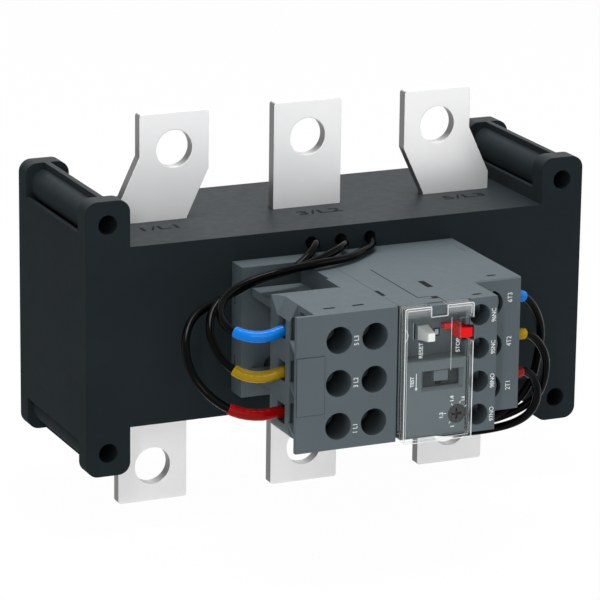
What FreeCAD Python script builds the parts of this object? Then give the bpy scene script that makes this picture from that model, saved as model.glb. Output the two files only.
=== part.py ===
"""Thermal overload relay on a transformer block. Millimetres.

Origin: centre of the four panel holes on the back plane. +X right, front at -Y, +Z up.
"""
import FreeCAD, Part
import math
import os

os.makedirs("parts", exist_ok=True)

V = FreeCAD.Vector

# transformer block: shell
WIDE = 91.4            # half width over the ears
EAR_TOP = 47.2
HOLE_X = WIDE - 7.8    # panel holes
HOLE_Z = EAR_TOP - 8.0
HOLE_R = 3.3
EAR_IN = WIDE - 15.6
BAR_PITCH = WIDE * 0.62035
EAR_CORNER = 4.2
BLOCK_TOP = 31.0
END_TOP = BLOCK_TOP + 4.7
FRONT = -64.0
FLANGE = 7.0
BOSS_R = 5.9
WEB = 2.0
SKIN = 1.6
POCKET_FLOOR = BLOCK_TOP - 1.0
WALL = 3.0
ROOM_X = WIDE - 2.0
ROOM_Z = BLOCK_TOP - 3.0
LEAD_HOLE_X = (-10.7, 0.1, 10.9)
LEAD_HOLE_Z = 26.1
LEAD_HOLE_R = 2.1
PILLAR_R = 3.2
PILLAR_X = (-WIDE + 7.4, -BAR_PITCH / 2, BAR_PITCH / 2, WIDE - 7.4)
PILLAR_Z = 22.0
COVER_SCREW_R = 1.4
COVER_HEAD_R = 2.9
COVER_HEAD_H = 2.0
COVER_SCREW_END = -11.0
SCREW_GAP = 0.05
HEAD_GAP = 0.15
COVER_GAP = 0.2
RIB_Z = 13.2
RIB_T = 1.5
RIB_X = WIDE - 11.4
RIB_REACH = 6.0
BASE_SCREW_X = BAR_PITCH / 2
BASE_SCREW_Z = 12.0
BASE_BOSS_R = 2.8
BASE_BOSS_END = FRONT + 10.0

# bars
BAR_W = 25.0
BAR_FRONT = -36.0
BAR_BACK = BAR_FRONT + 4.0
BAR_TOP_X = BAR_PITCH - 7.7
BAR_END = 68.0
BAR_HOLE_Z = BAR_END - 12.5
BAR_HOLE_R = 6.5
KINK_LOW = 34.3
KINK_HIGH = KINK_LOW + 16.3
BAR_CORNER = 1.0
BAR_GAP = 0.25
SLEEVE_GAP = 0.1
SLEEVE_T = 0.7

# window transformers
RING_Y = BAR_FRONT + 3.0
WIND_R = BAR_PITCH / 2 - 0.65
WIND_IN = 14.0
WIND_H = 13.0
WIND_T = 2.4
WIND_ARC = 300.0
CORE_GAP = 0.1

# grips of the leads inside the front wall
GRIP_X = 16.0
GRIP_LOW = 22.5
GRIP_HIGH = 27.8
GRIP_FRONT = FRONT + 3.2
GRIP_BACK = FRONT + 10.0
LEAD_R = 1.4
GRIP_GAP = 0.1
LEAD_IN_Y = FRONT + 6.0

# relay base
BASE_L = -39.5
BASE_R = 41.8
BASE_FRONT = FRONT - 8.5
BASE_Z = 22.5
LATCH_L = BASE_R - 3.5
LATCH_Y = BASE_FRONT - 9.5
BASE_SCREW_R = 1.4
BASE_HEAD_R = 2.75
BASE_HEAD_H = 2.0
BASE_SEAT = FRONT - 3.0
BASE_SCREW_END = FRONT + 7.0
BASE_SLOT_Z = (10.0, -10.7)
BASE_SLOT_H = 3.2
BASE_SLOT_W = 1.2
BASE_SLOT_Y = FRONT - 2.5
BASE_SLOT_DEEP = 3.5

RELAY_DEEP = 60.5      # relay, from the base plate to its front
RC_REAR = BASE_FRONT
RC_FRONT = RC_REAR - RELAY_DEEP

# terminal block, left
TB_LEFT = -46.8
TB_RIGHT = -10.9
TB_FRONT_R = -11.6
TB_FRONT = RC_FRONT - 0.7
TB_PLATE = TB_FRONT + 1.7
TB_GAP_Y = TB_FRONT + 1.4
TB_Z = 22.6
TB_MID_X = -40.2
TB_STEP = TB_FRONT + 14.3
TB_SIDE = -43.0
TB_REAR = TB_FRONT + 29.4
TB_EDGE_X = -40.1
TB_SLANT_Z = 17.0
TB_FLARE_Y = TB_STEP + 9.9
TB_ROUND = 3.0
TB_RIB_Z = (10.4, -3.5, -17.3)
TB_RIB_T = 1.1
TB_ROOF = 21.2
LEG_L = -18.4
LEG_STEP = 1.0
LEG_STEP_Y = TB_STEP + 24.0
SIDE_POCKET_Z = 4.6
LEG_REAR = BASE_FRONT - 0.1
ARM_L = -36.0
ARM_IN = 12.5
ARM_OUT = 15.3
ARM_REAR = BASE_FRONT - 0.5
TB_POLES = (13.7, -0.6, -14.9)
TB_COLS = (-32.0, -19.5)
TB_BORE_R = 4.5
ROOM_L = -36.4
ROOM_R = -15.2
TB_ROOM_Z = 4.7
TB_ROOM_REAR = TB_FRONT + 24.1
ENTRY_Y0 = TB_FRONT + 17.4
ENTRY_Y1 = TB_FRONT + 23.2
ENTRY_H = 6.6
PIN_SLOT_Y0 = TB_FRONT + 20.2
PIN_SLOT_Y1 = TB_FRONT + 21.9
PIN_SLOT_Z = 2.8
WIN_X = -37.4
WIN_Y0 = TB_FRONT + 2.8
WIN_Y1 = TB_FRONT + 12.7
TAG_L = -46.6
TAG_R = -37.0
TAG_LOW = -10.2
TAG_HIGH = 9.0
TAG_T = 1.0
TAG_OUT = 0.15
TAG_GAP = 0.12
CAGE_X = 4.0
CAGE_Z = 4.5
CAGE_FRONT = TB_FRONT + 15.5
CAGE_REAR = TB_FRONT + 23.9
CAGE_T = 1.1
HEAD_R = 3.7
HEAD_FRONT = TB_FRONT + 12.1
HEAD_REAR = TB_FRONT + 15.4
SHAFT_R = 1.75
SHAFT_GAP = 0.2
LEFT_SHAFT_END = TB_FRONT + 18.75
RIGHT_SHAFT_END = TB_FRONT + 20.35
SLOT_W = 0.9
SLOT_DEEP = 1.0
LINK_Y0 = TB_FRONT + 21.8
LINK_Y1 = TB_FRONT + 22.75
LINK_Z = 2.6
LINK_L = -35.8
LINK_R = -15.4

ROOF_SLOT_X = (-32.7, -22.6)
ROOF_SLOT_Y = TB_FRONT + 6.7
ROOF_SLOT_W = 4.0
ROOF_SLOT_DEEP = 1.2

# relay case
RC_L = -10.8
RC_R = 41.5
RC_Z = 22.6
NOTCH_X = 38.1
NOTCH_Y = RC_REAR - 9.7
AUX_L = 14.2
AUX_R = 24.0
AUX_FRONT = RC_FRONT - 0.7
T_FRONT = RC_FRONT + 16.9
T_BEVEL = 0.5
IN_L = -9.0
IN_R = 36.3
IN_Z = 20.8
IN_MID = RC_FRONT + 32.0
IN_FRONT = RC_FRONT + 9.5
IN_SIDE = 13.0
IN_STEP_X = 22.6
IN_STEP_Y = RC_FRONT + 16.0
BACK_T = 2.9
BACK_GAP = 0.1
POLES = (14.3, 0.0, -14.3)
T_X = 30.5
T_BORE_R = 4.5
T_BORE_END = RC_FRONT + 20.3
T_ROOM_L = 26.0
T_CAGE_X = 2.5
T_ROOM_R = 35.2
T_ROOM_Z = 4.8
T_WIRE_Y = RC_FRONT + 24.0
T_WIRE_R = 2.9
T_CAGE_FRONT = RC_FRONT + 20.4
T_CAGE_REAR = RC_FRONT + 27.4
T_HEAD_FRONT = RC_FRONT + 18.1
T_HEAD_REAR = RC_FRONT + 20.25
T_SHAFT_END = RC_FRONT + 22.5
AUX_Z = (16.8, 5.6, -5.6, -16.8)
AUX_X = 17.8
AUX_BORE_R = 3.6
AUX_BORE_END = RC_FRONT + 13.0
AUX_ROOM_L = 14.6
AUX_ROOM_R = 21.2
AUX_ROOM_Z = 3.3
AUX_HEAD_R = 2.9
AUX_HEAD_FRONT = RC_FRONT + 10.4
AUX_HEAD_REAR = RC_FRONT + 13.0
AUX_SHAFT_R = 1.4
AUX_SHAFT_END = RC_FRONT + 15.7
AUX_ENTRY_Y0 = RC_FRONT + 6.5
AUX_ENTRY_Y1 = RC_FRONT + 10.2
AUX_ENTRY_Z = 1.7

# marks and seam on top of the case, x from, x to, from the front, depth
SEAM_X = -1.3
SEAM_W = 0.35
SEAM_DEEP = 0.6
SEAM_TURN = RC_FRONT + 6.9
SEAM_END_X = 3.1
SEAM_END = RC_FRONT + 4.0
TOP_MARKS = (
    (7.1, 9.3, 16.5, 24.0, 1.2), (31.0, 34.6, 21.3, 22.1, 1.0), (16.6, 20.2, 3.0, 3.8, 1.0),
    (SEAM_X, SEAM_X + SEAM_W, 6.9, 42.5, SEAM_DEEP), (-11.0, -9.6, 12.6, 18.7, 1.0),
    (3.1, 5.4, 3.9, 6.4, 1.2), (5.2, 5.5, -1.0, 5.0, 0.5),
)

# window behind the cover
REC_L = -8.5
REC_R = 13.0
REC_LOW = 3.5
REC_HIGH = 18.5
REC_FLOOR = RC_FRONT + 6.0
STOP_ROOM_R = 15.7
STOP_ROOM_LOW = 8.75
STOP_ROOM_HIGH = 13.85
RESET_X = 0.7
RESET_Z = 11.0
RESET_W = 3.6
RESET_H = 4.7
RESET_W2 = 2.4
RESET_H2 = 2.8
STOP_X = 13.2
STOP_Z = 11.3
STOP_W = 4.6
STOP_H = 4.7
STOP_W2 = 4.2
STOP_H2 = 3.2
KEY_FRONT = RC_FRONT - 0.5
KEY_GAP = 0.1
KEY_SKIRT = RC_FRONT + 8.5
STEM_R = 1.2
RESET_END = RC_FRONT + 15.5
STOP_END = RC_FRONT + 13.5
SEL_X = 4.5
SEL_Z = 10.4
SEL_W = 1.7
SEL_H = 2.8
SEL_DEEP = 1.5
FLAG_L = 7.2
FLAG_R = 10.6
FLAG_LOW = 12.1
FLAG_HIGH = 13.5
FLAG_FRONT = RC_FRONT + 3.5
FLAG_END = RC_FRONT + 12.0
CATCH_L = -0.9
CATCH_R = 4.3
CATCH_LOW = 19.3
CATCH_HIGH = 22.3
CATCH_FRONT = RC_FRONT - 2.9

# label panel, dial, test slide
PAN_L = -8.5
PAN_R = 12.7
PAN_LOW = -21.6
PAN_HIGH = 3.5
PAN_FRONT = RC_FRONT - 1.5
TEST_L = -3.2
TEST_R = 12.0
TEST_LOW = -6.8
TEST_HIGH = 0.2
TEST_SLOPE = 1.2
TEST_FLOOR = RC_FRONT + 1.0
KNOB_L = 1.5
KNOB_R = 6.5
KNOB_LOW = -3.6
KNOB_HIGH = -0.2
KNOB_FRONT = RC_FRONT - 1.0
TAIL_L = 3.0
TAIL_R = 5.0
TAIL_LOW = -3.2
TAIL_HIGH = -1.2
TAIL_END = RC_FRONT + 11.5
TEST_TRAVEL = 2.0
DIAL_X = 9.8
DIAL_Z = -15.3
DIAL_R = 3.1
DIAL_GAP = 0.08
DIAL_FRONT = RC_FRONT - 1.3
DIAL_REAR = RC_FRONT + 5.0
DIAL_SHAFT_R = 1.5
DIAL_END = RC_FRONT + 14.0
CAM_R = 2.0
CAM_OFF = 0.6
CAM_FRONT = RC_FRONT + 11.6
CAM_REAR = RC_FRONT + 13.8
CROSS_L = 3.6
CROSS_W = 0.8
CROSS_DEEP = 1.2

# clear cover
CV_L = -10.5
CV_R = 14.0
CV_LOW = -22.95
CV_HIGH = 22.5
CV_FRONT = RC_FRONT - 4.0
CV_BACK = RC_FRONT - 0.1
CV_T = 0.8
CV_FLOOR_BACK = RC_FRONT - 0.9
CV_EDGE = 0.8
CUT_L = 9.4
CUT_LOW = 9.5
CUT_HIGH = 17.5
NIB_L = -1.1
NIB_R = 4.5
NIB_LOW = 19.0
PIVOT_Y = RC_FRONT + 0.8
PIVOT_Z = -21.3
PIVOT_R = 1.0
PIN_R = 0.5
PIN_GAP = 0.07
RELIEF_Y = RC_FRONT + 2.9
RELIEF_Z = -19.4

# mechanism
STRIP_L = -8.0
STRIP_R = 22.5
STRIP_Y0 = RC_REAR - 13.5
STRIP_Y1 = RC_REAR - 7.5
STRIP_T = 1.0
HEAT_L = -4.0
HEAT_R = 16.0
HEAT_Y0 = RC_REAR - 15.0
HEAT_Y1 = RC_REAR - 6.0
HEAT_Z = 2.0
HEAT_T = 0.6
HEAT_SLOTS = 6
HEAT_SLOT_W = 0.8
CAR_L = -8.8
CAR_R = -5.0
CAR_Y0 = RC_REAR - 17.5
CAR_Y1 = RC_REAR - 3.5
CAR_Z = 19.5
SLOT_GAP = 0.05
SL_L = 19.5
SL_R = 21.0
SL_Y0 = RC_REAR - 18.0
SL_Y1 = RC_REAR - 5.0
SL_LOW = -19.4
SL_HIGH = 19.0
SL_TRAVEL = 1.2
SL_WIN_Y0 = RC_REAR - 14.7
SL_WIN_Y1 = RC_REAR - 6.3
SL_WIN_LOW = 2.2
SL_WIN_HIGH = 1.0
PEG_L = 14.5
PEG_Y0 = RC_REAR - 20.7
PEG_LOW = 4.9
PEG_HIGH = 5.7
LEV_Y = RC_FRONT + 35.0
LEV_Z = 7.0
LEV_L = 14.5
LEV_R = 16.5
LEV_HUB = 2.0
LEV_ARM = 2.0
LEV_REAR = RC_REAR - 19.5
LEV_TOP = 15.0
LEV_PIN_R = 0.95
LEV_PIN_GAP = 0.05
LEV_PIN_L = 13.0
LUG_L = 17.2
LUG_R = 18.7
LUG_Y0 = RC_FRONT + 33.0
LUG_Y1 = RC_FRONT + 37.0
LUG_LOW = 5.0
CC_L = 12.2
CC_R = 13.4
CC_Y0 = RC_FRONT + 19.0
CC_Y1 = RC_FRONT + 29.0
CC_Z = 18.0
TAILC_R = 16.5
TAILC_Y = RC_FRONT + 33.8
TAILC_LOW = 13.3
TAILC_HIGH = 15.7
BR_L = 11.8
BR_R = 19.4
BR_T = 0.6
NC_Y = RC_FRONT + 21.3
NO_Y = RC_FRONT + 19.8
BR_IN = 4.6
BR_OUT = 17.8
FC_L = 14.8
FC_R = 20.8
FC_Z = 3.0
FC_T = 0.8
FC_FRONT = RC_FRONT + 13.05
LEGC_L = 20.0
LEGC_T = 0.6
PAD_L = 16.0
PAD_Z = 1.5
NC_PAD = RC_FRONT + 22.0
NO_PAD = RC_FRONT + 17.6
PIN_Y0 = RC_FRONT + 19.8
PIN_Y1 = RC_FRONT + 21.0
PIN_L = -23.0
PIN_Z = 2.4
PIN_BEND_L = -8.4
PIN_BEND_R = -7.2
PIN_REAR = RC_REAR - 17.8
PIN_SHIFT = -0.3
LC_Y0 = RC_REAR - 19.9
LC_Y1 = RC_REAR - 18.7
LC_L = 14.8
LC_FOOT_R = 16.0
LC_FOOT_Y = RC_REAR - 15.1
LC_BEND_L = 26.6
LC_BEND_R = 27.8
LC_PAD_Y0 = RC_FRONT + 25.5
LC_PAD_Y1 = RC_FRONT + 26.2
LC_R = 34.2
LC_Z = 1.5

# lead runs: points of each route, arcs fill the corners
ARC_SHARE = 0.45
MARK_R = 1.95
MARK_GAP = 0.05
LINE_MARK = (6.0, 27.5)
LOAD_MARK = (1.2, 10.0)


def box(x0, x1, y0, y1, z0, z1):
    return Part.makeBox(x1 - x0, y1 - y0, z1 - z0, V(x0, y0, z0))


def rod_y(x, z, r, y0, y1):
    return Part.makeCylinder(r, y1 - y0, V(x, y0, z), V(0, 1, 0))


def rod_x(y, z, r, x0, x1):
    return Part.makeCylinder(r, x1 - x0, V(x0, y, z), V(1, 0, 0))


def place(plane, a, b, c):
    if plane == "xz":
        return V(a, c, b)
    if plane == "yz":
        return V(c, a, b)
    return V(a, b, c)


def outline(plane, level, corners):
    """Closed wire through corners (a, b, radius) with tangent arcs."""
    count = len(corners)
    starts = []
    mids = []
    ends = []
    for i in range(count):
        p = V(corners[i][0], corners[i][1], 0)
        r = corners[i][2]
        before = V(corners[i - 1][0], corners[i - 1][1], 0) - p
        after = V(corners[(i + 1) % count][0], corners[(i + 1) % count][1], 0) - p
        before.normalize()
        after.normalize()
        half = before.getAngle(after) / 2
        if r <= 0:
            starts.append(p)
            mids.append(None)
            ends.append(p)
            continue
        back = r / math.tan(half)
        way = before + after
        way.normalize()
        centre = p + way * (r / math.sin(half))
        starts.append(p + before * back)
        mids.append(centre - way * r)
        ends.append(p + after * back)
    edges = []
    for i in range(count):
        a = place(plane, starts[i].x, starts[i].y, level)
        b = place(plane, ends[i].x, ends[i].y, level)
        c = place(plane, starts[(i + 1) % count].x, starts[(i + 1) % count].y, level)
        if mids[i] is not None:
            m = place(plane, mids[i].x, mids[i].y, level)
            edges.append(Part.Arc(a, m, b).toShape())
        if b.distanceToPoint(c) > 1e-6:
            edges.append(Part.LineSegment(b, c).toShape())
    return Part.Wire(edges)


def prism(plane, lo, hi, corners):
    face = Part.Face(outline(plane, lo, corners))
    return face.extrude(place(plane, 0, 0, hi - lo))


def flat(points):
    return [(p[0], p[1], 0) for p in points]


def join(shapes):
    whole = shapes[0]
    if len(shapes) > 1:
        whole = whole.fuse(shapes[1:])
    return whole.removeSplitter()


def rect_wire(plane, level, a0, a1, b0, b1):
    return outline(plane, level, flat([(a0, b0), (a1, b0), (a1, b1), (a0, b1)]))


def frustum_y(y0, x0, x1, z0, z1, y1, u0, u1, w0, w1):
    low = rect_wire("xz", y0, x0, x1, z0, z1)
    high = rect_wire("xz", y1, u0, u1, w0, w1)
    return Part.makeLoft([low, high], True, True)


def save(name, shapes):
    if not isinstance(shapes, list):
        shapes = [shapes]
    solids = []
    for s in shapes:
        solids.extend(s.Solids)
    for s in solids:
        if not s.isValid():
            print("invalid solid in", name)
    whole = solids[0] if len(solids) == 1 else Part.makeCompound(solids)
    whole.exportStep("parts/" + name + ".step")
    b = whole.BoundBox
    print(name, len(solids), "solids", "vol %.1f" % whole.Volume,
          "x %.2f %.2f y %.2f %.2f z %.2f %.2f" % (b.XMin, b.XMax, b.YMin, b.YMax, b.ZMin, b.ZMax))


def ear_flange(side, y0, y1):
    inner = side * EAR_IN
    outer = side * WIDE
    corners = [(inner, -EAR_TOP, EAR_CORNER), (outer, -EAR_TOP, EAR_CORNER),
               (outer, EAR_TOP, EAR_CORNER), (inner, EAR_TOP, EAR_CORNER)]
    return prism("xz", y0, y1, corners)


def ear_end(side, top):
    """One ear between the flanges: hollow end wall, hole boss and web."""
    x_in = side * EAR_IN
    x_out = side * WIDE
    lo = min(x_in, x_out)
    hi = max(x_in, x_out)
    z0 = min(0, top * END_TOP)
    z1 = max(0, top * END_TOP)
    wall = box(lo, hi, FRONT + FLANGE, -FLANGE, z0, z1)
    p0 = min(top * POCKET_FLOOR, top * (END_TOP + 1))
    p1 = max(top * POCKET_FLOOR, top * (END_TOP + 1))
    pocket = box(lo + SKIN, hi - SKIN, FRONT + FLANGE, -FLANGE, p0, p1)
    wall = wall.cut(pocket)
    boss = rod_y(side * HOLE_X, top * HOLE_Z, BOSS_R, FRONT + FLANGE, -FLANGE)
    w0 = min(top * POCKET_FLOOR, top * EAR_TOP)
    w1 = max(top * POCKET_FLOOR, top * EAR_TOP)
    web = box(side * HOLE_X - WEB / 2, side * HOLE_X + WEB / 2, FRONT + FLANGE, -FLANGE, w0, w1)
    return [wall, boss, web]


def housing():
    parts = [box(-EAR_IN - 1, EAR_IN + 1, FRONT, 0, -BLOCK_TOP, BLOCK_TOP)]
    for side in (-1, 1):
        parts.append(ear_flange(side, FRONT, FRONT + FLANGE))
        parts.append(ear_flange(side, -FLANGE, 0))
        for top in (-1, 1):
            parts.extend(ear_end(side, top))
    body = join(parts)
    body = body.cut(box(-ROOM_X, ROOM_X, FRONT + WALL, 1, -ROOM_Z, ROOM_Z))
    inner = []
    for x in PILLAR_X:
        for top in (-1, 1):
            inner.append(rod_y(x, top * PILLAR_Z, PILLAR_R, FRONT + WALL, -WALL))
    for x in (-BASE_SCREW_X, BASE_SCREW_X):
        for top in (-1, 1):
            inner.append(rod_y(x, top * BASE_SCREW_Z, BASE_BOSS_R, FRONT + WALL, BASE_BOSS_END))
    for top in (-1, 1):
        z0 = min(top * RIB_Z, top * (RIB_Z + RIB_T))
        inner.append(box(-RIB_X, RIB_X, FRONT + WALL, FRONT + WALL + RIB_REACH, z0, z0 + RIB_T))
    body = join([body] + inner)
    cuts = []
    for side in (-1, 1):
        for top in (-1, 1):
            cuts.append(rod_y(side * HOLE_X, top * HOLE_Z, HOLE_R, FRONT - 1, 1))
            cuts.append(rod_y(side * BASE_SCREW_X, top * BASE_SCREW_Z, BASE_SCREW_R + SCREW_GAP,
                              FRONT - 1, BASE_SCREW_END + 1))
    for x in PILLAR_X:
        for top in (-1, 1):
            cuts.append(rod_y(x, top * PILLAR_Z, COVER_SCREW_R + SCREW_GAP, COVER_SCREW_END - 1, 0))
    for x in LEAD_HOLE_X:
        for top in (-1, 1):
            cuts.append(rod_y(x, top * LEAD_HOLE_Z, LEAD_HOLE_R, FRONT - 1, FRONT + WALL))
    for x in (-BAR_PITCH, 0, BAR_PITCH):
        half = BAR_W / 2 + BAR_GAP
        cuts.append(box(x - half, x + half, BAR_FRONT - BAR_GAP, BAR_BACK + BAR_GAP,
                        -BLOCK_TOP - 1, BLOCK_TOP + 1))
    return body.cut(cuts)


def back_cover():
    plate = box(-ROOM_X + COVER_GAP, ROOM_X - COVER_GAP, -WALL, 0, -ROOM_Z + COVER_GAP, ROOM_Z - COVER_GAP)
    cuts = []
    for x in PILLAR_X:
        for top in (-1, 1):
            cuts.append(rod_y(x, top * PILLAR_Z, COVER_SCREW_R + SCREW_GAP, -WALL - 1, 1))
            cuts.append(rod_y(x, top * PILLAR_Z, COVER_HEAD_R + HEAD_GAP, -COVER_HEAD_H, 1))
    return plate.cut(cuts)


def cover_screws():
    out = []
    for x in PILLAR_X:
        for top in (-1, 1):
            head = rod_y(x, top * PILLAR_Z, COVER_HEAD_R, -COVER_HEAD_H, 0)
            shaft = rod_y(x, top * PILLAR_Z, COVER_SCREW_R, COVER_SCREW_END, -COVER_HEAD_H)
            slot = box(x - COVER_HEAD_R, x + COVER_HEAD_R, -SLOT_DEEP, 1,
                       top * PILLAR_Z - SLOT_W / 2, top * PILLAR_Z + SLOT_W / 2)
            out.append(join([head, shaft]).cut(slot))
    return out


def bus_bar(side):
    half = BAR_W / 2
    if side == 0:
        corners = [(-half, -BAR_END, BAR_CORNER), (half, -BAR_END, BAR_CORNER),
                   (half, BAR_END, BAR_CORNER), (-half, BAR_END, BAR_CORNER)]
    else:
        turn = math.atan2(BAR_PITCH - BAR_TOP_X, KINK_HIGH - KINK_LOW)
        shift = half * math.tan(turn / 2)
        low = BAR_PITCH
        top = BAR_TOP_X
        corners = [(low - half, -BAR_END, BAR_CORNER), (low + half, -BAR_END, BAR_CORNER),
                   (low + half, KINK_LOW + shift, 0), (top + half, KINK_HIGH + shift, 0),
                   (top + half, BAR_END, BAR_CORNER), (top - half, BAR_END, BAR_CORNER),
                   (top - half, KINK_HIGH - shift, 0), (low - half, KINK_LOW - shift, 0)]
        corners = [(side * c[0], c[1], c[2]) for c in corners]
    bar = prism("xz", BAR_FRONT, BAR_BACK, corners)
    cut_top = rod_y(side * BAR_TOP_X, BAR_HOLE_Z, BAR_HOLE_R, BAR_FRONT - 1, BAR_BACK + 1)
    cut_low = rod_y(side * BAR_PITCH, -BAR_HOLE_Z, BAR_HOLE_R, BAR_FRONT - 1, BAR_BACK + 1)
    return bar.cut([cut_top, cut_low])


def bar_sleeves():
    out = []
    y_mid = (BAR_FRONT + BAR_BACK) / 2
    for x in (-BAR_PITCH, 0, BAR_PITCH):
        a = BAR_W / 2 + SLEEVE_GAP
        b = (BAR_BACK - BAR_FRONT) / 2 + SLEEVE_GAP
        z = ROOM_Z - COVER_GAP
        outer = box(x - a - SLEEVE_T, x + a + SLEEVE_T, y_mid - b - SLEEVE_T, y_mid + b + SLEEVE_T, -z, z)
        inner = box(x - a, x + a, y_mid - b, y_mid + b, -z - 1, z + 1)
        out.append(outer.cut(inner))
    return out


def ring_profile(x, r_in, r_out, half):
    return outline("xz", RING_Y, flat([(x + r_in, -half), (x + r_out, -half), (x + r_out, half), (x + r_in, half)]))


def winding(x):
    skin = ring_profile(x, WIND_IN, WIND_R, WIND_H)
    hole = ring_profile(x, WIND_IN + WIND_T, WIND_R - WIND_T, WIND_H - WIND_T)
    face = Part.Face(skin).cut(Part.Face(hole)).Faces[0]
    face.rotate(V(x, RING_Y, 0), V(0, 0, 1), 120.0)
    return face.revolve(V(x, RING_Y, 0), V(0, 0, 1), WIND_ARC)


def core(x):
    gap = WIND_T + CORE_GAP
    outer = Part.makeCylinder(WIND_R - gap, 2 * (WIND_H - gap), V(x, RING_Y, -(WIND_H - gap)))
    inner = Part.makeCylinder(WIND_IN + gap, 2 * WIND_H, V(x, RING_Y, -WIND_H))
    return outer.cut(inner)


def lead_grip(top):
    z0 = min(top * GRIP_LOW, top * GRIP_HIGH)
    z1 = max(top * GRIP_LOW, top * GRIP_HIGH)
    block = prism("xz", GRIP_FRONT, GRIP_BACK, [(-GRIP_X, z0, 0.8), (GRIP_X, z0, 0.8),
                                               (GRIP_X, z1, 0.8), (-GRIP_X, z1, 0.8)])
    cuts = [rod_y(x, top * LEAD_HOLE_Z, LEAD_R + GRIP_GAP, GRIP_FRONT - 1, LEAD_IN_Y + 0.1) for x in LEAD_HOLE_X]
    return block.cut(cuts)


def base_plate():
    plate = box(BASE_L, BASE_R, BASE_FRONT, FRONT, -BASE_Z, BASE_Z)
    latch = box(LATCH_L, BASE_R, LATCH_Y, BASE_FRONT, -BASE_Z, BASE_Z)
    body = join([plate, latch])
    cuts = []
    for z in BASE_SLOT_Z:
        cuts.append(box(BASE_L - 1, BASE_L + BASE_SLOT_DEEP, BASE_SLOT_Y - BASE_SLOT_W / 2,
                        BASE_SLOT_Y + BASE_SLOT_W / 2, z - BASE_SLOT_H / 2, z + BASE_SLOT_H / 2))
    for x in (-BASE_SCREW_X, BASE_SCREW_X):
        for top in (-1, 1):
            z = top * BASE_SCREW_Z
            cuts.append(rod_y(x, z, BASE_SCREW_R + SCREW_GAP, BASE_FRONT - 1, FRONT + 1))
            cuts.append(rod_y(x, z, BASE_HEAD_R + HEAD_GAP, BASE_FRONT - 1, BASE_SEAT))
    return body.cut(cuts)


def base_screws():
    out = []
    for x in (-BASE_SCREW_X, BASE_SCREW_X):
        for top in (-1, 1):
            z = top * BASE_SCREW_Z
            head = rod_y(x, z, BASE_HEAD_R, BASE_SEAT - BASE_HEAD_H, BASE_SEAT)
            shaft = rod_y(x, z, BASE_SCREW_R, BASE_SEAT, BASE_SCREW_END)
            out.append(join([head, shaft]))
    return out


def terminal_cap():
    """Front half of the terminal block: plate, ribs and screw shafts."""
    plate = box(TB_LEFT, TB_FRONT_R, TB_FRONT, TB_PLATE, -TB_Z, TB_Z)
    strip = box(TB_FRONT_R - 1, TB_RIGHT, TB_GAP_Y, TB_STEP, -TB_Z, TB_Z)
    mid = box(TB_MID_X, TB_FRONT_R, TB_PLATE, TB_STEP, -TB_Z, TB_Z)
    parts = [plate, strip, mid]
    for z in TB_RIB_Z:
        corners = flat([(TB_MID_X + 1, TB_STEP), (TB_SIDE, TB_STEP), (TB_LEFT, TB_PLATE), (TB_MID_X + 1, TB_PLATE)])
        parts.append(prism("xy", z - TB_RIB_T / 2, z + TB_RIB_T / 2, corners))
    body = join(parts)
    cuts = []
    for z in TB_POLES:
        for x in TB_COLS:
            cuts.append(rod_y(x, z, TB_BORE_R, TB_FRONT - 1, TB_STEP + 1))
    edges = (TB_ROOF,) + TB_RIB_Z + (-TB_ROOF,)
    for i in range(len(edges) - 1):
        high = edges[i] - TB_RIB_T / 2
        low = edges[i + 1] + TB_RIB_T / 2
        cuts.append(box(TB_MID_X - 1, WIN_X, WIN_Y0, WIN_Y1, low, high))
    cuts.append(box(TAG_L - TAG_GAP, TAG_R + TAG_GAP, TB_FRONT - 1, TB_FRONT + TAG_T,
                    TAG_LOW - TAG_GAP, TAG_HIGH + TAG_GAP))
    for x in ROOF_SLOT_X:
        cuts.append(box(x - ROOF_SLOT_W / 2, x + ROOF_SLOT_W / 2, ROOF_SLOT_Y - 0.4, ROOF_SLOT_Y + 0.4,
                        TB_Z - ROOF_SLOT_DEEP, TB_Z + 1))
    return body.cut(cuts)


def roof_slant():
    """What the slanted upper corner of the block takes away: a prism that runs out at the rear."""
    rise = (TB_Z - TB_SLANT_Z) / (TB_EDGE_X - TB_SIDE)
    low = TB_SLANT_Z - rise * 0.5
    high = TB_Z + rise * 0.5
    run_out = TB_EDGE_X - TB_SIDE + 0.1
    corner = flat([(TB_SIDE - 0.5, low), (TB_EDGE_X + 0.5, high), (TB_SIDE - 1.5 - run_out, high)])
    front = prism("xz", TB_STEP - 1, TB_FLARE_Y, corner)
    face = Part.Face(outline("xz", TB_FLARE_Y, corner))
    return [front, face.extrude(V(-run_out, TB_REAR + 0.1 - TB_FLARE_Y, 0))]


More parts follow.
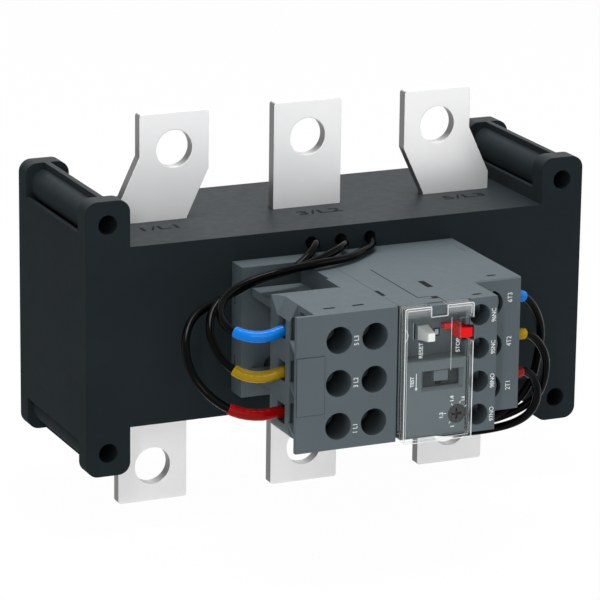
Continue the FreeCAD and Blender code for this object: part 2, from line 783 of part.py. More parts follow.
def terminal_block():
    corners = [(TB_RIGHT, -TB_Z, 0), (TB_RIGHT, TB_Z, 0), (TB_SIDE, TB_Z, 0), (TB_SIDE, -TB_Z, TB_ROUND)]
    block = prism("xz", TB_STEP, TB_REAR, corners)
    leg = box(LEG_L, TB_RIGHT, TB_REAR - 1, LEG_REAR, -TB_Z, TB_Z)
    foot = box(LEG_L - LEG_STEP, LEG_L + 1, TB_REAR - 1, LEG_STEP_Y, -TB_Z, TB_Z)
    parts = [block, leg, foot]
    for top in (-1, 1):
        z0 = min(top * ARM_IN, top * ARM_OUT)
        parts.append(box(ARM_L, LEG_L + 1, TB_REAR - 1, ARM_REAR, z0, z0 + ARM_OUT - ARM_IN))
    body = join(parts)
    cuts = []
    for z in TB_POLES:
        cuts.append(box(ROOM_L, ROOM_R, TB_STEP - 1, TB_ROOM_REAR, z - TB_ROOM_Z, z + TB_ROOM_Z))
        cuts.append(box(TB_SIDE - 1, ROOM_L + 1, ENTRY_Y0, ENTRY_Y1, z - ENTRY_H / 2, z + ENTRY_H / 2))
        cuts.append(box(ROOM_R - 1, TB_RIGHT + 1, PIN_SLOT_Y0, PIN_SLOT_Y1,
                        z - PIN_SLOT_Z, z + PIN_SLOT_Z))
        cuts.append(box(TB_SIDE + 0.7, TB_MID_X + 0.6, TB_STEP - 1, TB_STEP + 2.4,
                        z - SIDE_POCKET_Z, z + SIDE_POCKET_Z))
    cuts.extend(roof_slant())
    bevel = flat([(TB_REAR - 3.0, TB_Z), (TB_REAR + 0.3, TB_Z - 0.45), (TB_REAR + 0.3, TB_Z + 1)])
    cuts.append(prism("yz", TB_SIDE - 1, LEG_L - LEG_STEP, bevel))
    return body.cut(cuts)


def marker_tab():
    return box(TAG_L, TAG_R, TB_FRONT - TAG_OUT, TB_FRONT + TAG_T, TAG_LOW, TAG_HIGH)


def screw(x, z, r_head, y0, y1, r_shaft, y2):
    head = rod_y(x, z, r_head, y0, y1)
    shaft = rod_y(x, z, r_shaft, y1, y2)
    body = join([head, shaft])
    a = box(x - r_head * 0.62, x + r_head * 0.62, y0 - 1, y0 + SLOT_DEEP, z - SLOT_W / 2, z + SLOT_W / 2)
    b = box(x - SLOT_W / 2, x + SLOT_W / 2, y0 - 1, y0 + SLOT_DEEP, z - r_head * 0.62, z + r_head * 0.62)
    return body.cut([a, b])


def cage(x, z, half_x, half_z, y0, y1):
    outer = box(x - half_x, x + half_x, y0, y1, z - half_z, z + half_z)
    hole = box(x - half_x - 1, x + half_x + 1, y0 + CAGE_T, y1 - CAGE_T, z - half_z + CAGE_T, z + half_z - CAGE_T)
    shaft = rod_y(x, z, SHAFT_R + SHAFT_GAP, y0 - 1, y0 + CAGE_T + 1)
    return outer.cut([hole, shaft])


def terminal_screws():
    out = []
    for z in TB_POLES:
        out.append(screw(TB_COLS[0], z, HEAD_R, HEAD_FRONT, HEAD_REAR, SHAFT_R, LEFT_SHAFT_END))
        out.append(screw(TB_COLS[1], z, HEAD_R, HEAD_FRONT, HEAD_REAR, SHAFT_R, RIGHT_SHAFT_END))
    return out


def terminal_clamps():
    return [cage(x, z, CAGE_X, CAGE_Z, CAGE_FRONT, CAGE_REAR) for z in TB_POLES for x in TB_COLS]


def link_bars():
    return [box(LINK_L, LINK_R, LINK_Y0, LINK_Y1, z - LINK_Z, z + LINK_Z) for z in TB_POLES]


def case_room():
    """Hollow of the relay case: mechanism room, pole rooms and contact rooms."""
    rooms = [box(IN_L, IN_R, IN_MID, RC_REAR + 1, -IN_Z, IN_Z),
             box(IN_L, IN_SIDE, IN_FRONT, IN_MID + 1, -IN_Z, IN_Z),
             box(IN_SIDE - 1, IN_STEP_X, IN_STEP_Y, IN_MID + 1, -IN_Z, IN_Z),
             box(IN_SIDE - 1, STOP_ROOM_R, IN_FRONT, IN_STEP_Y + 1, STOP_ROOM_LOW, STOP_ROOM_HIGH)]
    for z in POLES:
        rooms.append(box(T_ROOM_L, T_ROOM_R, T_BORE_END, IN_MID + 1, z - T_ROOM_Z, z + T_ROOM_Z))
    for z in AUX_Z:
        rooms.append(box(AUX_ROOM_L, AUX_ROOM_R, AUX_BORE_END, IN_STEP_Y + 1, z - AUX_ROOM_Z, z + AUX_ROOM_Z))
    return rooms


def relay_case():
    corners = flat([(RC_L, RC_REAR), (NOTCH_X, RC_REAR), (NOTCH_X, NOTCH_Y), (RC_R, NOTCH_Y),
                    (RC_R, T_FRONT), (AUX_R, T_FRONT), (AUX_R, AUX_FRONT), (AUX_L, AUX_FRONT),
                    (AUX_L, RC_FRONT), (RC_L, RC_FRONT)])
    body = prism("xy", -RC_Z, RC_Z, corners)
    body = join([body, box(CATCH_L, CATCH_R, CATCH_FRONT, RC_FRONT + 1, CATCH_LOW, CATCH_HIGH)])
    cuts = case_room()
    cuts.append(box(REC_L, REC_R, RC_FRONT - 1, REC_FLOOR, REC_LOW, REC_HIGH))
    cuts.append(box(REC_R - 1, STOP_ROOM_R, AUX_FRONT - 1, REC_FLOOR, STOP_ROOM_LOW, STOP_ROOM_HIGH))
    cuts.append(box(RESET_X - RESET_W / 2 - KEY_GAP, RESET_X + RESET_W / 2 + KEY_GAP, REC_FLOOR - 1, IN_FRONT + 1,
                    RESET_Z - RESET_H / 2 - KEY_GAP, RESET_Z + RESET_H / 2 + KEY_GAP))
    cuts.append(box(STOP_X - STOP_W / 2 - KEY_GAP, STOP_X + STOP_W / 2 + KEY_GAP, REC_FLOOR - 1, IN_FRONT + 1,
                    STOP_Z - STOP_H / 2 - KEY_GAP, STOP_Z + STOP_H / 2 + KEY_GAP))
    cuts.append(box(SEL_X - SEL_W / 2, SEL_X + SEL_W / 2, REC_FLOOR - 1, REC_FLOOR + SEL_DEEP,
                    SEL_Z - SEL_H / 2, SEL_Z + SEL_H / 2))
    cuts.append(box(FLAG_L - KEY_GAP, FLAG_R + KEY_GAP, REC_FLOOR - 1, IN_FRONT + 1,
                    FLAG_LOW - KEY_GAP, FLAG_HIGH + KEY_GAP))
    cuts.append(box(TEST_L, TEST_R, RC_FRONT - 1, TEST_FLOOR, TEST_LOW, TEST_HIGH))
    cuts.append(box(TAIL_L - KEY_GAP, TAIL_R + KEY_GAP, TEST_FLOOR - 1, IN_FRONT + 1,
                    TAIL_LOW - TEST_TRAVEL - KEY_GAP * 2, TAIL_HIGH + KEY_GAP))
    cuts.append(rod_y(DIAL_X, DIAL_Z, DIAL_R + DIAL_GAP, RC_FRONT - 1, DIAL_REAR + 0.2))
    cuts.append(rod_y(DIAL_X, DIAL_Z, DIAL_SHAFT_R + DIAL_GAP, DIAL_REAR - 1, IN_FRONT + 1))
    for z in POLES:
        cuts.append(rod_y(T_X, z, T_BORE_R, T_FRONT - 1, T_BORE_END + 0.5))
        cuts.append(rod_x(T_WIRE_Y, z, T_WIRE_R, T_ROOM_R - 1, RC_R + 1))
        cuts.append(box(RC_L - 1, IN_L + 1, PIN_SLOT_Y0, PIN_SLOT_Y1,
                        z + PIN_SHIFT - PIN_SLOT_Z, z + PIN_SHIFT + PIN_SLOT_Z))
    for z in AUX_Z:
        cuts.append(rod_y(AUX_X, z, AUX_BORE_R, AUX_FRONT - 1, AUX_BORE_END + 0.5))
        cuts.append(box(AUX_X, AUX_R + 1, AUX_ENTRY_Y0, AUX_ENTRY_Y1, z - AUX_ENTRY_Z, z + AUX_ENTRY_Z))
    cuts.append(box(RC_L - 1, CV_L + CV_T + 0.2, RC_FRONT - 1, RELIEF_Y, -RC_Z - 1, RELIEF_Z))
    cuts.append(box(CV_R - CV_T - 0.2, AUX_L, RC_FRONT - 1, RELIEF_Y, -RC_Z - 1, RELIEF_Z))
    bevel = flat([(T_FRONT - 1, RC_Z - T_BEVEL - 1), (T_FRONT - 1, RC_Z + 1), (T_FRONT + T_BEVEL + 1, RC_Z + 1)])
    cuts.append(prism("yz", AUX_R, RC_R + 1, bevel))
    body = body.cut(cuts)
    pins = [rod_x(PIVOT_Y, PIVOT_Z, PIN_R, CV_L + 0.2, CV_L + CV_T + 0.3),
            rod_x(PIVOT_Y, PIVOT_Z, PIN_R, CV_R - CV_T - 0.3, CV_R - 0.2)]
    lug = box(LUG_L, LUG_R, LUG_Y0, LUG_Y1, LUG_LOW, IN_Z + 0.5)
    body = join([body, lug] + pins)
    tops = [box(x0, x1, RC_FRONT + y0, RC_FRONT + y1, RC_Z - deep, RC_Z + 1) for x0, x1, y0, y1, deep in TOP_MARKS]
    turn = flat([(SEAM_X, SEAM_TURN), (SEAM_X + SEAM_W, SEAM_TURN), (SEAM_END_X, SEAM_END),
                 (SEAM_END_X, SEAM_END - SEAM_W)])
    tops.append(prism("xy", RC_Z - SEAM_DEEP, RC_Z + 1, turn))
    tops.append(rod_x(LEV_Y, LEV_Z, LEV_PIN_R + LEV_PIN_GAP, LUG_L - 1, LUG_R + 1))
    return body.cut(tops)


def relay_back():
    return box(IN_L + BACK_GAP, IN_R - BACK_GAP, RC_REAR - BACK_T, RC_REAR, -IN_Z + BACK_GAP, IN_Z - BACK_GAP)


def relay_pins():
    out = []
    for z in POLES:
        path = flat([(PIN_L, PIN_Y0), (PIN_BEND_R, PIN_Y0), (PIN_BEND_R, PIN_REAR), (PIN_BEND_L, PIN_REAR),
                     (PIN_BEND_L, PIN_Y1), (PIN_L, PIN_Y1)])
        mid = z + PIN_SHIFT
        out.append(prism("xy", mid - PIN_Z, mid + PIN_Z, path))
    return out


def bimetal(z):
    return box(STRIP_L, STRIP_R, STRIP_Y0, STRIP_Y1, z - STRIP_T / 2, z + STRIP_T / 2)


def heater(z):
    outer = box(HEAT_L, HEAT_R, HEAT_Y0, HEAT_Y1, z - HEAT_Z, z + HEAT_Z)
    inner = box(HEAT_L - 1, HEAT_R + 1, HEAT_Y0 + HEAT_T, HEAT_Y1 - HEAT_T, z - HEAT_Z + HEAT_T, z + HEAT_Z - HEAT_T)
    cuts = [inner]
    step = (HEAT_R - HEAT_L) / (HEAT_SLOTS + 1)
    for i in range(HEAT_SLOTS):
        x = HEAT_L + step * (i + 1)
        y0 = HEAT_Y0 - 1 if i % 2 == 0 else HEAT_Y0 + 2 * HEAT_T
        y1 = HEAT_Y1 - 2 * HEAT_T if i % 2 == 0 else HEAT_Y1 + 1
        cuts.append(box(x - HEAT_SLOT_W / 2, x + HEAT_SLOT_W / 2, y0, y1, z - HEAT_Z - 1, z + HEAT_Z + 1))
    return outer.cut(cuts)


def bimetal_carrier():
    body = box(CAR_L, CAR_R, CAR_Y0, CAR_Y1, -CAR_Z, CAR_Z)
    half = STRIP_T / 2 + SLOT_GAP
    return body.cut([box(STRIP_L - SLOT_GAP, CAR_R + 1, STRIP_Y0 - SLOT_GAP, STRIP_Y1 + SLOT_GAP, z - half, z + half)
                     for z in POLES])


def trip_slider():
    plate = box(SL_L, SL_R, SL_Y0, SL_Y1, SL_LOW, SL_HIGH)
    plate = plate.cut([box(SL_L - 1, SL_R + 1, SL_WIN_Y0, SL_WIN_Y1, z - SL_WIN_LOW, z + SL_WIN_HIGH)
                       for z in POLES])
    return join([plate, box(PEG_L, SL_R, PEG_Y0, SL_Y0 + 1, PEG_LOW, PEG_HIGH)])


def trip_lever():
    half = LEV_ARM / 2
    hub = rod_x(LEV_Y, LEV_Z, LEV_HUB, LEV_L, LEV_R)
    rear = box(LEV_L, LEV_R, LEV_Y, LEV_REAR, LEV_Z - half, LEV_Z + half)
    rise = box(LEV_L, LEV_R, LEV_Y - half, LEV_Y + half, LEV_Z, LEV_TOP)
    return join([hub, rear, rise]).cut(rod_x(LEV_Y, LEV_Z, LEV_PIN_R + LEV_PIN_GAP, LEV_L - 1, LEV_R + 1))


def contact_carrier():
    plate = box(CC_L, CC_R, CC_Y0, CC_Y1, -CC_Z, CC_Z)
    tail = box(CC_L, TAILC_R, CC_Y1 - 1, TAILC_Y, TAILC_LOW, TAILC_HIGH)
    body = join([plate, tail])
    slots = []
    for y, low, high in ((NC_Y, BR_IN, BR_OUT), (NO_Y, -BR_OUT, -BR_IN)):
        slots.append(box(CC_L - 1, CC_R + 1, y - SLOT_GAP, y + BR_T + SLOT_GAP, low - SLOT_GAP, high + SLOT_GAP))
    return body.cut(slots)


def contact_bridges():
    return [box(BR_L, BR_R, NC_Y, NC_Y + BR_T, BR_IN, BR_OUT), box(BR_L, BR_R, NO_Y, NO_Y + BR_T, -BR_OUT, -BR_IN)]


def fixed_contacts():
    out = []
    for z in AUX_Z:
        pad_y = NC_PAD if z > 0 else NO_PAD
        plate = box(FC_L, FC_R, FC_FRONT, FC_FRONT + FC_T, z - FC_Z, z + FC_Z)
        plate = plate.cut(rod_y(AUX_X, z, AUX_SHAFT_R + SCREW_GAP, FC_FRONT - 1, FC_FRONT + 2))
        leg = box(LEGC_L, LEGC_L + LEGC_T, FC_FRONT, pad_y + LEGC_T, z - PAD_Z, z + PAD_Z)
        pad = box(PAD_L, LEGC_L + LEGC_T, pad_y, pad_y + LEGC_T, z - PAD_Z, z + PAD_Z)
        out.append(join([plate, leg, pad]))
    return out


def push_key(x, z, w, h, w2, h2, end):
    head = frustum_y(KEY_FRONT, x - w2 / 2, x + w2 / 2, z - h2 / 2, z + h2 / 2,
                     REC_FLOOR, x - w / 2, x + w / 2, z - h / 2, z + h / 2)
    skirt = box(x - w / 2, x + w / 2, REC_FLOOR, KEY_SKIRT, z - h / 2, z + h / 2)
    stem = rod_y(x, z, STEM_R, KEY_SKIRT - 0.5, end)
    return join([head, skirt, stem])


def trip_flag():
    corners = flat([(FLAG_FRONT, FLAG_LOW), (FLAG_END, FLAG_LOW), (FLAG_END, FLAG_HIGH), (FLAG_FRONT + 0.6, FLAG_HIGH)])
    return prism("yz", FLAG_L, FLAG_R, corners)


def test_slider():
    knob = box(KNOB_L, KNOB_R, KNOB_FRONT, TEST_FLOOR - KEY_GAP, KNOB_LOW, KNOB_HIGH)
    tail = box(TAIL_L, TAIL_R, TEST_FLOOR - 0.5, TAIL_END, TAIL_LOW, TAIL_HIGH)
    return join([knob, tail])


def current_dial():
    disc = rod_y(DIAL_X, DIAL_Z, DIAL_R, DIAL_FRONT, DIAL_REAR)
    shaft = rod_y(DIAL_X, DIAL_Z, DIAL_SHAFT_R, DIAL_REAR - 0.5, DIAL_END)
    cam = rod_y(DIAL_X + CAM_OFF, DIAL_Z, CAM_R, CAM_FRONT, CAM_REAR)
    half = CROSS_L / 2
    wide = CROSS_W / 2
    slot = box(DIAL_X - half, DIAL_X + half, DIAL_FRONT - 1, DIAL_FRONT + CROSS_DEEP, DIAL_Z - wide, DIAL_Z + wide)
    cross = box(DIAL_X - wide, DIAL_X + wide, DIAL_FRONT - 1, DIAL_FRONT + CROSS_DEEP, DIAL_Z - half, DIAL_Z + half)
    return join([disc, shaft, cam]).cut([slot, cross])


def label_panel():
    body = box(PAN_L, PAN_R, PAN_FRONT, RC_FRONT, PAN_LOW, PAN_HIGH)
    window = frustum_y(PAN_FRONT - 0.01, TEST_L, TEST_R, TEST_LOW, TEST_HIGH,
                       RC_FRONT + 0.01, TEST_L + TEST_SLOPE, TEST_R - TEST_SLOPE, TEST_LOW + TEST_SLOPE, TEST_HIGH)
    bore = rod_y(DIAL_X, DIAL_Z, DIAL_R + DIAL_GAP, PAN_FRONT - 1, RC_FRONT + 1)
    return body.cut([window, bore])


def cover():
    outer = prism("xz", CV_FRONT, CV_BACK, [(CV_L, CV_LOW, CV_EDGE), (CV_R, CV_LOW, CV_EDGE),
                                            (CV_R, CV_HIGH, CV_EDGE), (CV_L, CV_HIGH, CV_EDGE)])
    inner = box(CV_L + CV_T, CV_R - CV_T, CV_FRONT + CV_T, CV_BACK + 1, CV_LOW + CV_T, CV_HIGH - CV_T)
    tray = outer.cut(inner)
    cuts = [box(CV_L + CV_T, CV_R - CV_T, CV_FLOOR_BACK, CV_BACK + 1, CV_LOW - 1, CV_LOW + CV_T + 0.1),
            box(CUT_L, CV_R + 1, CV_FRONT - 1, CV_BACK + 1, CUT_LOW, CUT_HIGH),
            box(NIB_L, NIB_R, CV_FRONT - 1, CV_BACK + 1, NIB_LOW, CV_HIGH + 1)]
    tray = tray.cut(cuts)
    parts = [tray]
    for x0 in (CV_L, CV_R - CV_T):
        parts.append(box(x0, x0 + CV_T, CV_BACK - 1, PIVOT_Y, PIVOT_Z - PIVOT_R, PIVOT_Z + PIVOT_R))
        parts.append(rod_x(PIVOT_Y, PIVOT_Z, PIVOT_R, x0, x0 + CV_T))
    return join(parts).cut(rod_x(PIVOT_Y, PIVOT_Z, PIN_R + PIN_GAP, CV_L - 1, CV_R + 1))


def load_conductors():
    out = []
    for z in POLES:
        path = flat([(LC_L, LC_FOOT_Y), (LC_L, LC_Y0), (LC_BEND_L, LC_Y0), (LC_BEND_L, LC_PAD_Y0),
                     (LC_R, LC_PAD_Y0), (LC_R, LC_PAD_Y1), (LC_BEND_R, LC_PAD_Y1), (LC_BEND_R, LC_Y1),
                     (LC_FOOT_R, LC_Y1), (LC_FOOT_R, LC_FOOT_Y)])
        out.append(prism("xy", z - LC_Z, z + LC_Z, path))
    return out


def load_clamps():
    return [cage(T_X, z, T_CAGE_X, CAGE_Z, T_CAGE_FRONT, T_CAGE_REAR) for z in POLES]


def load_screws():
    return [screw(T_X, z, HEAD_R, T_HEAD_FRONT, T_HEAD_REAR, SHAFT_R, T_SHAFT_END) for z in POLES]


def aux_screws():
    return [screw(AUX_X, z, AUX_HEAD_R, AUX_HEAD_FRONT, AUX_HEAD_REAR, AUX_SHAFT_R, AUX_SHAFT_END) for z in AUX_Z]


LEADS = {
    "line_lead_1": (
        (-10.7, -58, 26.1), (-10.7, -66, 26.1), (-12.1, -71.6, 28.2), (-16.3, -76.6, 26.3),
        (-24.4, -80.1, 22), (-37.3, -80.8, 20.7), (-50.5, -82.9, 16), (-62.9, -87.1, 13.1),
        (-69.4, -94.8, 6.8), (-70.2, -102.3, -1.9), (-65.7, -107.7, -8.8), (-58.7, -111.3, -13.7),
        (-50.4, -113.5, -15.3), (-43, -113.6, -14.4), (-34.2, -113.4, -14.4),
    ),
    "line_lead_2": (
        (0.1, -58, 26.1), (0.1, -66, 26.1), (-2.1, -72.9, 27.1), (-7.2, -78.1, 27), (-14.8, -81, 25.2),
        (-24.1, -82.8, 23.5), (-34.9, -83.7, 22.1), (-46.4, -84.6, 19.7), (-56.3, -87.9, 15.3),
        (-60.9, -94.9, 9.3), (-59.9, -101.8, 2.1), (-55.3, -107, -2.5), (-48.9, -111.1, -3.5),
        (-42, -113.6, -1), (-34.2, -113.4, -0.2),
    ),
    "line_lead_3": (
        (10.9, -58, 26.1), (10.9, -66, 26.1), (8.5, -70.7, 24.7), (3.4, -75.2, 24.6),
        (-4.7, -81.2, 24.6), (-17, -85.1, 25.1), (-30.8, -86.7, 24.2), (-43.4, -86.8, 22.1),
        (-53.3, -90.3, 19.1), (-58.2, -97.2, 15.6), (-58.4, -104.3, 12.5), (-53.9, -110, 10.8),
        (-48, -112.9, 10.8), (-42, -113.6, 12.9), (-34.2, -113.4, 13.9),
    ),
    "load_lead_1": (
        (35.5, -109, -14.3), (42, -109, -13.8), (48.6, -106.2, -12.9), (54, -104, -17),
        (56.5, -102.5, -24.1), (55.8, -99.1, -31), (52.2, -93.7, -36.2), (44.7, -87.9, -39.3),
        (34.7, -83.4, -40.6), (23.7, -80.3, -39.4), (12.8, -77.9, -36.1), (2.8, -75.1, -32.1),
        (-5.5, -71, -28.5), (-10.7, -65, -26.1), (-10.7, -58, -26.1),
    ),
    "load_lead_2": (
        (35.5, -109, 0), (42, -109, 0.4), (48.6, -108, 0.4), (53.6, -106.3, -3.4),
        (57.6, -104.9, -9.4), (58.9, -102.6, -17.4), (58.2, -98.7, -26.1), (52.7, -93.1, -32.2),
        (43.5, -88.5, -36.1), (33.1, -84.2, -37), (22.9, -80, -35.1), (13.7, -75.8, -31.7),
        (5.6, -71.3, -28.3), (0.1, -65.5, -26.1), (0.1, -58, -26.1),
    ),
    "load_lead_3": (
        (35.5, -109, 14.3), (42, -109, 14.4), (48.4, -106.7, 12.6), (53.6, -104.4, 6.7),
        (57.2, -102.1, -1.4), (57.4, -99.5, -10.5), (56.5, -97.8, -20.1), (51.7, -95.3, -28.2),
        (44.4, -92.3, -33.7), (35.9, -88.8, -35.3), (27.6, -84.6, -33.7), (20.2, -79.1, -30.7),
        (14.3, -72.4, -27.9), (10.9, -65, -26.1), (10.9, -58, -26.1),
    ),
}
MARKS = {
    "line_lead_1": ("red", LINE_MARK[0], LINE_MARK[1]),
    "line_lead_2": ("yellow", LINE_MARK[0], LINE_MARK[1]),
    "line_lead_3": ("blue", LINE_MARK[0], LINE_MARK[1]),
    "load_lead_1": ("red", LOAD_MARK[0], LOAD_MARK[1]),
    "load_lead_2": ("yellow", LOAD_MARK[0], LOAD_MARK[1]),
    "load_lead_3": ("blue", LOAD_MARK[0], LOAD_MARK[1]),
}


def route_wire(name, points):
    """Straight runs joined by tangent arcs; radius = share x shorter run / tan(half turn)."""
    pts = [V(*p) for p in points]
    edges = []
    radii = []
    at = pts[0]
    for i in range(1, len(pts) - 1):
        back = pts[i - 1] - pts[i]
        ahead = pts[i + 1] - pts[i]
        run = ARC_SHARE * min(back.Length, ahead.Length)
        back.normalize()
        ahead.normalize()
        half_turn = (math.pi - back.getAngle(ahead)) / 2
        radii.append(run / math.tan(half_turn))
        way = back + ahead
        way.normalize()
        a = pts[i] + back * run
        b = pts[i] + ahead * run
        reach = radii[-1] / math.cos(half_turn) - radii[-1]
        edges.append(Part.LineSegment(at, a).toShape())
        edges.append(Part.Arc(a, pts[i] + way * reach, b).toShape())
        at = b
    edges.append(Part.LineSegment(at, pts[-1]).toShape())
    length = sum(e.Length for e in edges)
    print(name, "length %.1f" % length, "radii", " ".join("%.1f" % r for r in radii))
    return edges, length


def tube(edges, r_out, r_in):
    start = edges[0].Vertexes[0].Point
    way = edges[0].tangentAt(edges[0].FirstParameter)
    ring = Part.Face(Part.Wire(Part.makeCircle(r_out, start, way)))
    if r_in > 0:
        ring = ring.cut(Part.Face(Part.Wire(Part.makeCircle(r_in, start, way)))).Faces[0]
    return Part.Wire(edges).makePipe(ring)


def stretch(edges, s0, s1):
    """The part of a route between two distances along it."""
    out = []
    at = 0.0
    for e in edges:
        lo = max(s0 - at, 0.0)
        hi = min(s1 - at, e.Length)
        if hi - lo > 1e-3:
            p0 = e.getParameterByLength(lo)
            p1 = e.getParameterByLength(hi)
            out.append(e.Curve.toShape(p0, p1))
        at += e.Length
    return out


def leads():
    sleeves = {"blue": [], "yellow": [], "red": []}
    for name, points in LEADS.items():
        edges, length = route_wire(name, points)
        lead = tube(edges, LEAD_R, 0)
        share = lead.Volume / (math.pi * LEAD_R ** 2 * length)
        print(name, "volume / section x length %.4f" % share)
        save(name, lead)
        colour, near, far = MARKS[name]
        s0 = length - far if name.startswith("line") else near
        s1 = length - near if name.startswith("line") else far
        sleeves[colour].append(tube(stretch(edges, s0, s1), MARK_R, LEAD_R + MARK_GAP))
    for colour in sleeves:
        save(colour + "_sleeves", sleeves[colour])


def main():
    save("housing", housing())
    save("back_cover", back_cover())
    save("cover_screws", cover_screws())
    for i, side in enumerate((-1, 0, 1)):
        save("bus_bar_%d" % (i + 1), bus_bar(side))
        save("secondary_winding_%d" % (i + 1), winding(side * BAR_PITCH))
    save("ring_cores", [core(side * BAR_PITCH) for side in (-1, 0, 1)])
    save("bar_sleeves", bar_sleeves())
    save("lead_grip_upper", lead_grip(1))
    save("lead_grip_lower", lead_grip(-1))
    save("base_plate", base_plate())
    save("base_screws", base_screws())
    save("terminal_cap", terminal_cap())
    save("terminal_block", terminal_block())
    save("marker_tab", marker_tab())
    save("terminal_screws", terminal_screws())
    save("terminal_clamps", terminal_clamps())
    save("link_bars", link_bars())
    save("relay_case", relay_case())
    save("relay_back", relay_back())
    save("relay_pins", relay_pins())
    for i, z in enumerate(POLES):
        save("bimetal_strip_%d" % (i + 1), bimetal(z))
        save("heater_%d" % (i + 1), heater(z))
    save("bimetal_carrier", bimetal_carrier())
    save("trip_slider", trip_slider())
    save("trip_lever", trip_lever())
    save("lever_pin", rod_x(LEV_Y, LEV_Z, LEV_PIN_R, LEV_PIN_L, LUG_R))
    save("contact_carrier", contact_carrier())
    save("contact_bridges", contact_bridges())
    save("fixed_contacts", fixed_contacts())
    save("trip_flag", trip_flag())
    save("reset_button", push_key(RESET_X, RESET_Z, RESET_W, RESET_H, RESET_W2, RESET_H2, RESET_END))
    save("stop_button", push_key(STOP_X, STOP_Z, STOP_W, STOP_H, STOP_W2, STOP_H2, STOP_END))
    save("test_slider", test_slider())
    save("current_dial", current_dial())
    save("label_panel", label_panel())
    save("cover", cover())
    save("load_conductors", load_conductors())
    save("load_clamps", load_clamps())
    save("load_screws", load_screws())
    save("aux_screws", aux_screws())
    leads()


main()
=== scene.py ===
"""Looks of a thermal overload relay on a block of current transformers, dressed round its solids.

Lengths are millimetres in the part's own frame, and MM turns them into metres where Blender takes them.
The stage, the lamps and the camera are given in metres.
"""
import bpy
import math
import numpy as np
from mathutils import Matrix, Vector


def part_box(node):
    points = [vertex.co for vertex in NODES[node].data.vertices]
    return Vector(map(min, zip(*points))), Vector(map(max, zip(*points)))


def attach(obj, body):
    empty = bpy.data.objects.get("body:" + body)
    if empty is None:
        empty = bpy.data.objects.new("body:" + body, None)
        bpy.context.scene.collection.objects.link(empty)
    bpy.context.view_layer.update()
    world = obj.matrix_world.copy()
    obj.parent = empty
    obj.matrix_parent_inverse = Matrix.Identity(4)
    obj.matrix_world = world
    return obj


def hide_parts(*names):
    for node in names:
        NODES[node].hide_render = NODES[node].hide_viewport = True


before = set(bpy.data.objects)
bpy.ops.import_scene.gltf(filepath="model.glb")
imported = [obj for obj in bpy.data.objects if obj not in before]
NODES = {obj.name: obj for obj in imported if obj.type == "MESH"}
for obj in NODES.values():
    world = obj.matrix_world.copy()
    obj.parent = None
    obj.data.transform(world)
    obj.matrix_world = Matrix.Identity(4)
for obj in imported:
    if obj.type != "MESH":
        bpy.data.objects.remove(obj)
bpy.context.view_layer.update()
MM = 0.001
ROOT = "frame"
COVER_BODY = "cover_body"


# Shader tools
def new_material(name):
    """Empty node material with a Principled shader on its output: the material, tree, shader and output."""
    m = bpy.data.materials.new(name)
    m.use_nodes = True
    t = m.node_tree
    t.nodes.clear()
    out = t.nodes.new("ShaderNodeOutputMaterial")
    b = t.nodes.new("ShaderNodeBsdfPrincipled")
    t.links.new(b.outputs[0], out.inputs[0])
    return m, t, b, out


def node(t, kind, **values):
    """New node of a kind. A value goes to the input of its name, or else to the node's own setting."""
    n = t.nodes.new(kind)
    for name, value in values.items():
        if name in n.inputs:
            n.inputs[name].default_value = value
        else:
            setattr(n, name, value)
    return n


def feed(t, inputs, values):
    """Put values into the first inputs: another node's output is linked, and a number is set."""
    for socket, value in zip(inputs, values):
        if isinstance(value, bpy.types.NodeSocket):
            t.links.new(value, socket)
        else:
            socket.default_value = value


def calc(t, operation, *values):
    """Result of one Math node on outputs or numbers."""
    n = node(t, "ShaderNodeMath", operation=operation)
    feed(t, n.inputs, values)
    return n.outputs[0]


def remap(t, value, low, high, to_low, to_high):
    """Value carried in a straight line from low..high to to_low..to_high, and held at the ends."""
    n = node(t, "ShaderNodeMapRange", clamp=True)
    feed(t, n.inputs, (value, low, high, to_low, to_high))
    return n.outputs[0]


def between(t, value, low, high):
    """1 where the value lies from low to high, else 0."""
    return calc(t, "COMPARE", value, (low + high) / 2, (high - low) / 2)


def component(t, vector, axis):
    """The X, Y or Z of a vector output."""
    n = node(t, "ShaderNodeSeparateXYZ")
    t.links.new(vector, n.inputs[0])
    return n.outputs[axis]


def scaled(t, tone, factor):
    """Tone times a factor."""
    n = node(t, "ShaderNodeVectorMath", operation="SCALE")
    t.links.new(tone, n.inputs[0])
    t.links.new(factor, n.inputs["Scale"])
    return n.outputs[0]


def surface(t, output):
    """An output of the Geometry node, such as Normal."""
    return node(t, "ShaderNodeNewGeometry").outputs[output]


def coords(t, scale=(1, 1, 1)):
    """Place on the object, each axis times its scale."""
    c = node(t, "ShaderNodeTexCoord")
    m = node(t, "ShaderNodeMapping", Scale=scale)
    t.links.new(c.outputs["Object"], m.inputs[0])
    return m.outputs[0]


def noise(t, place, waves, detail, rough=0.5):
    """Noise from 0 to 1 with about so many waves to the metre."""
    n = node(t, "ShaderNodeTexNoise", Scale=waves, Detail=detail, Roughness=rough)
    t.links.new(place, n.inputs["Vector"])
    return n.outputs["Fac"]


def ramp(t, fac, low, high):
    """Colour that goes from one (place, colour) stop to the other."""
    r = node(t, "ShaderNodeValToRGB")
    for stop, (place, colour) in zip(r.color_ramp.elements, (low, high)):
        stop.position = place
        stop.color = (*colour, 1)
    t.links.new(fac, r.inputs[0])
    return r.outputs[0]


def shade(colour, k):
    """Colour times k, none of its channels over 1."""
    return tuple(min(1.0, v * k) for v in colour)


def rounded(t, radius):
    """Normal of the surface as if its sharp edges had this radius."""
    return node(t, "ShaderNodeBevel", samples=6, Radius=radius * MM).outputs[0]


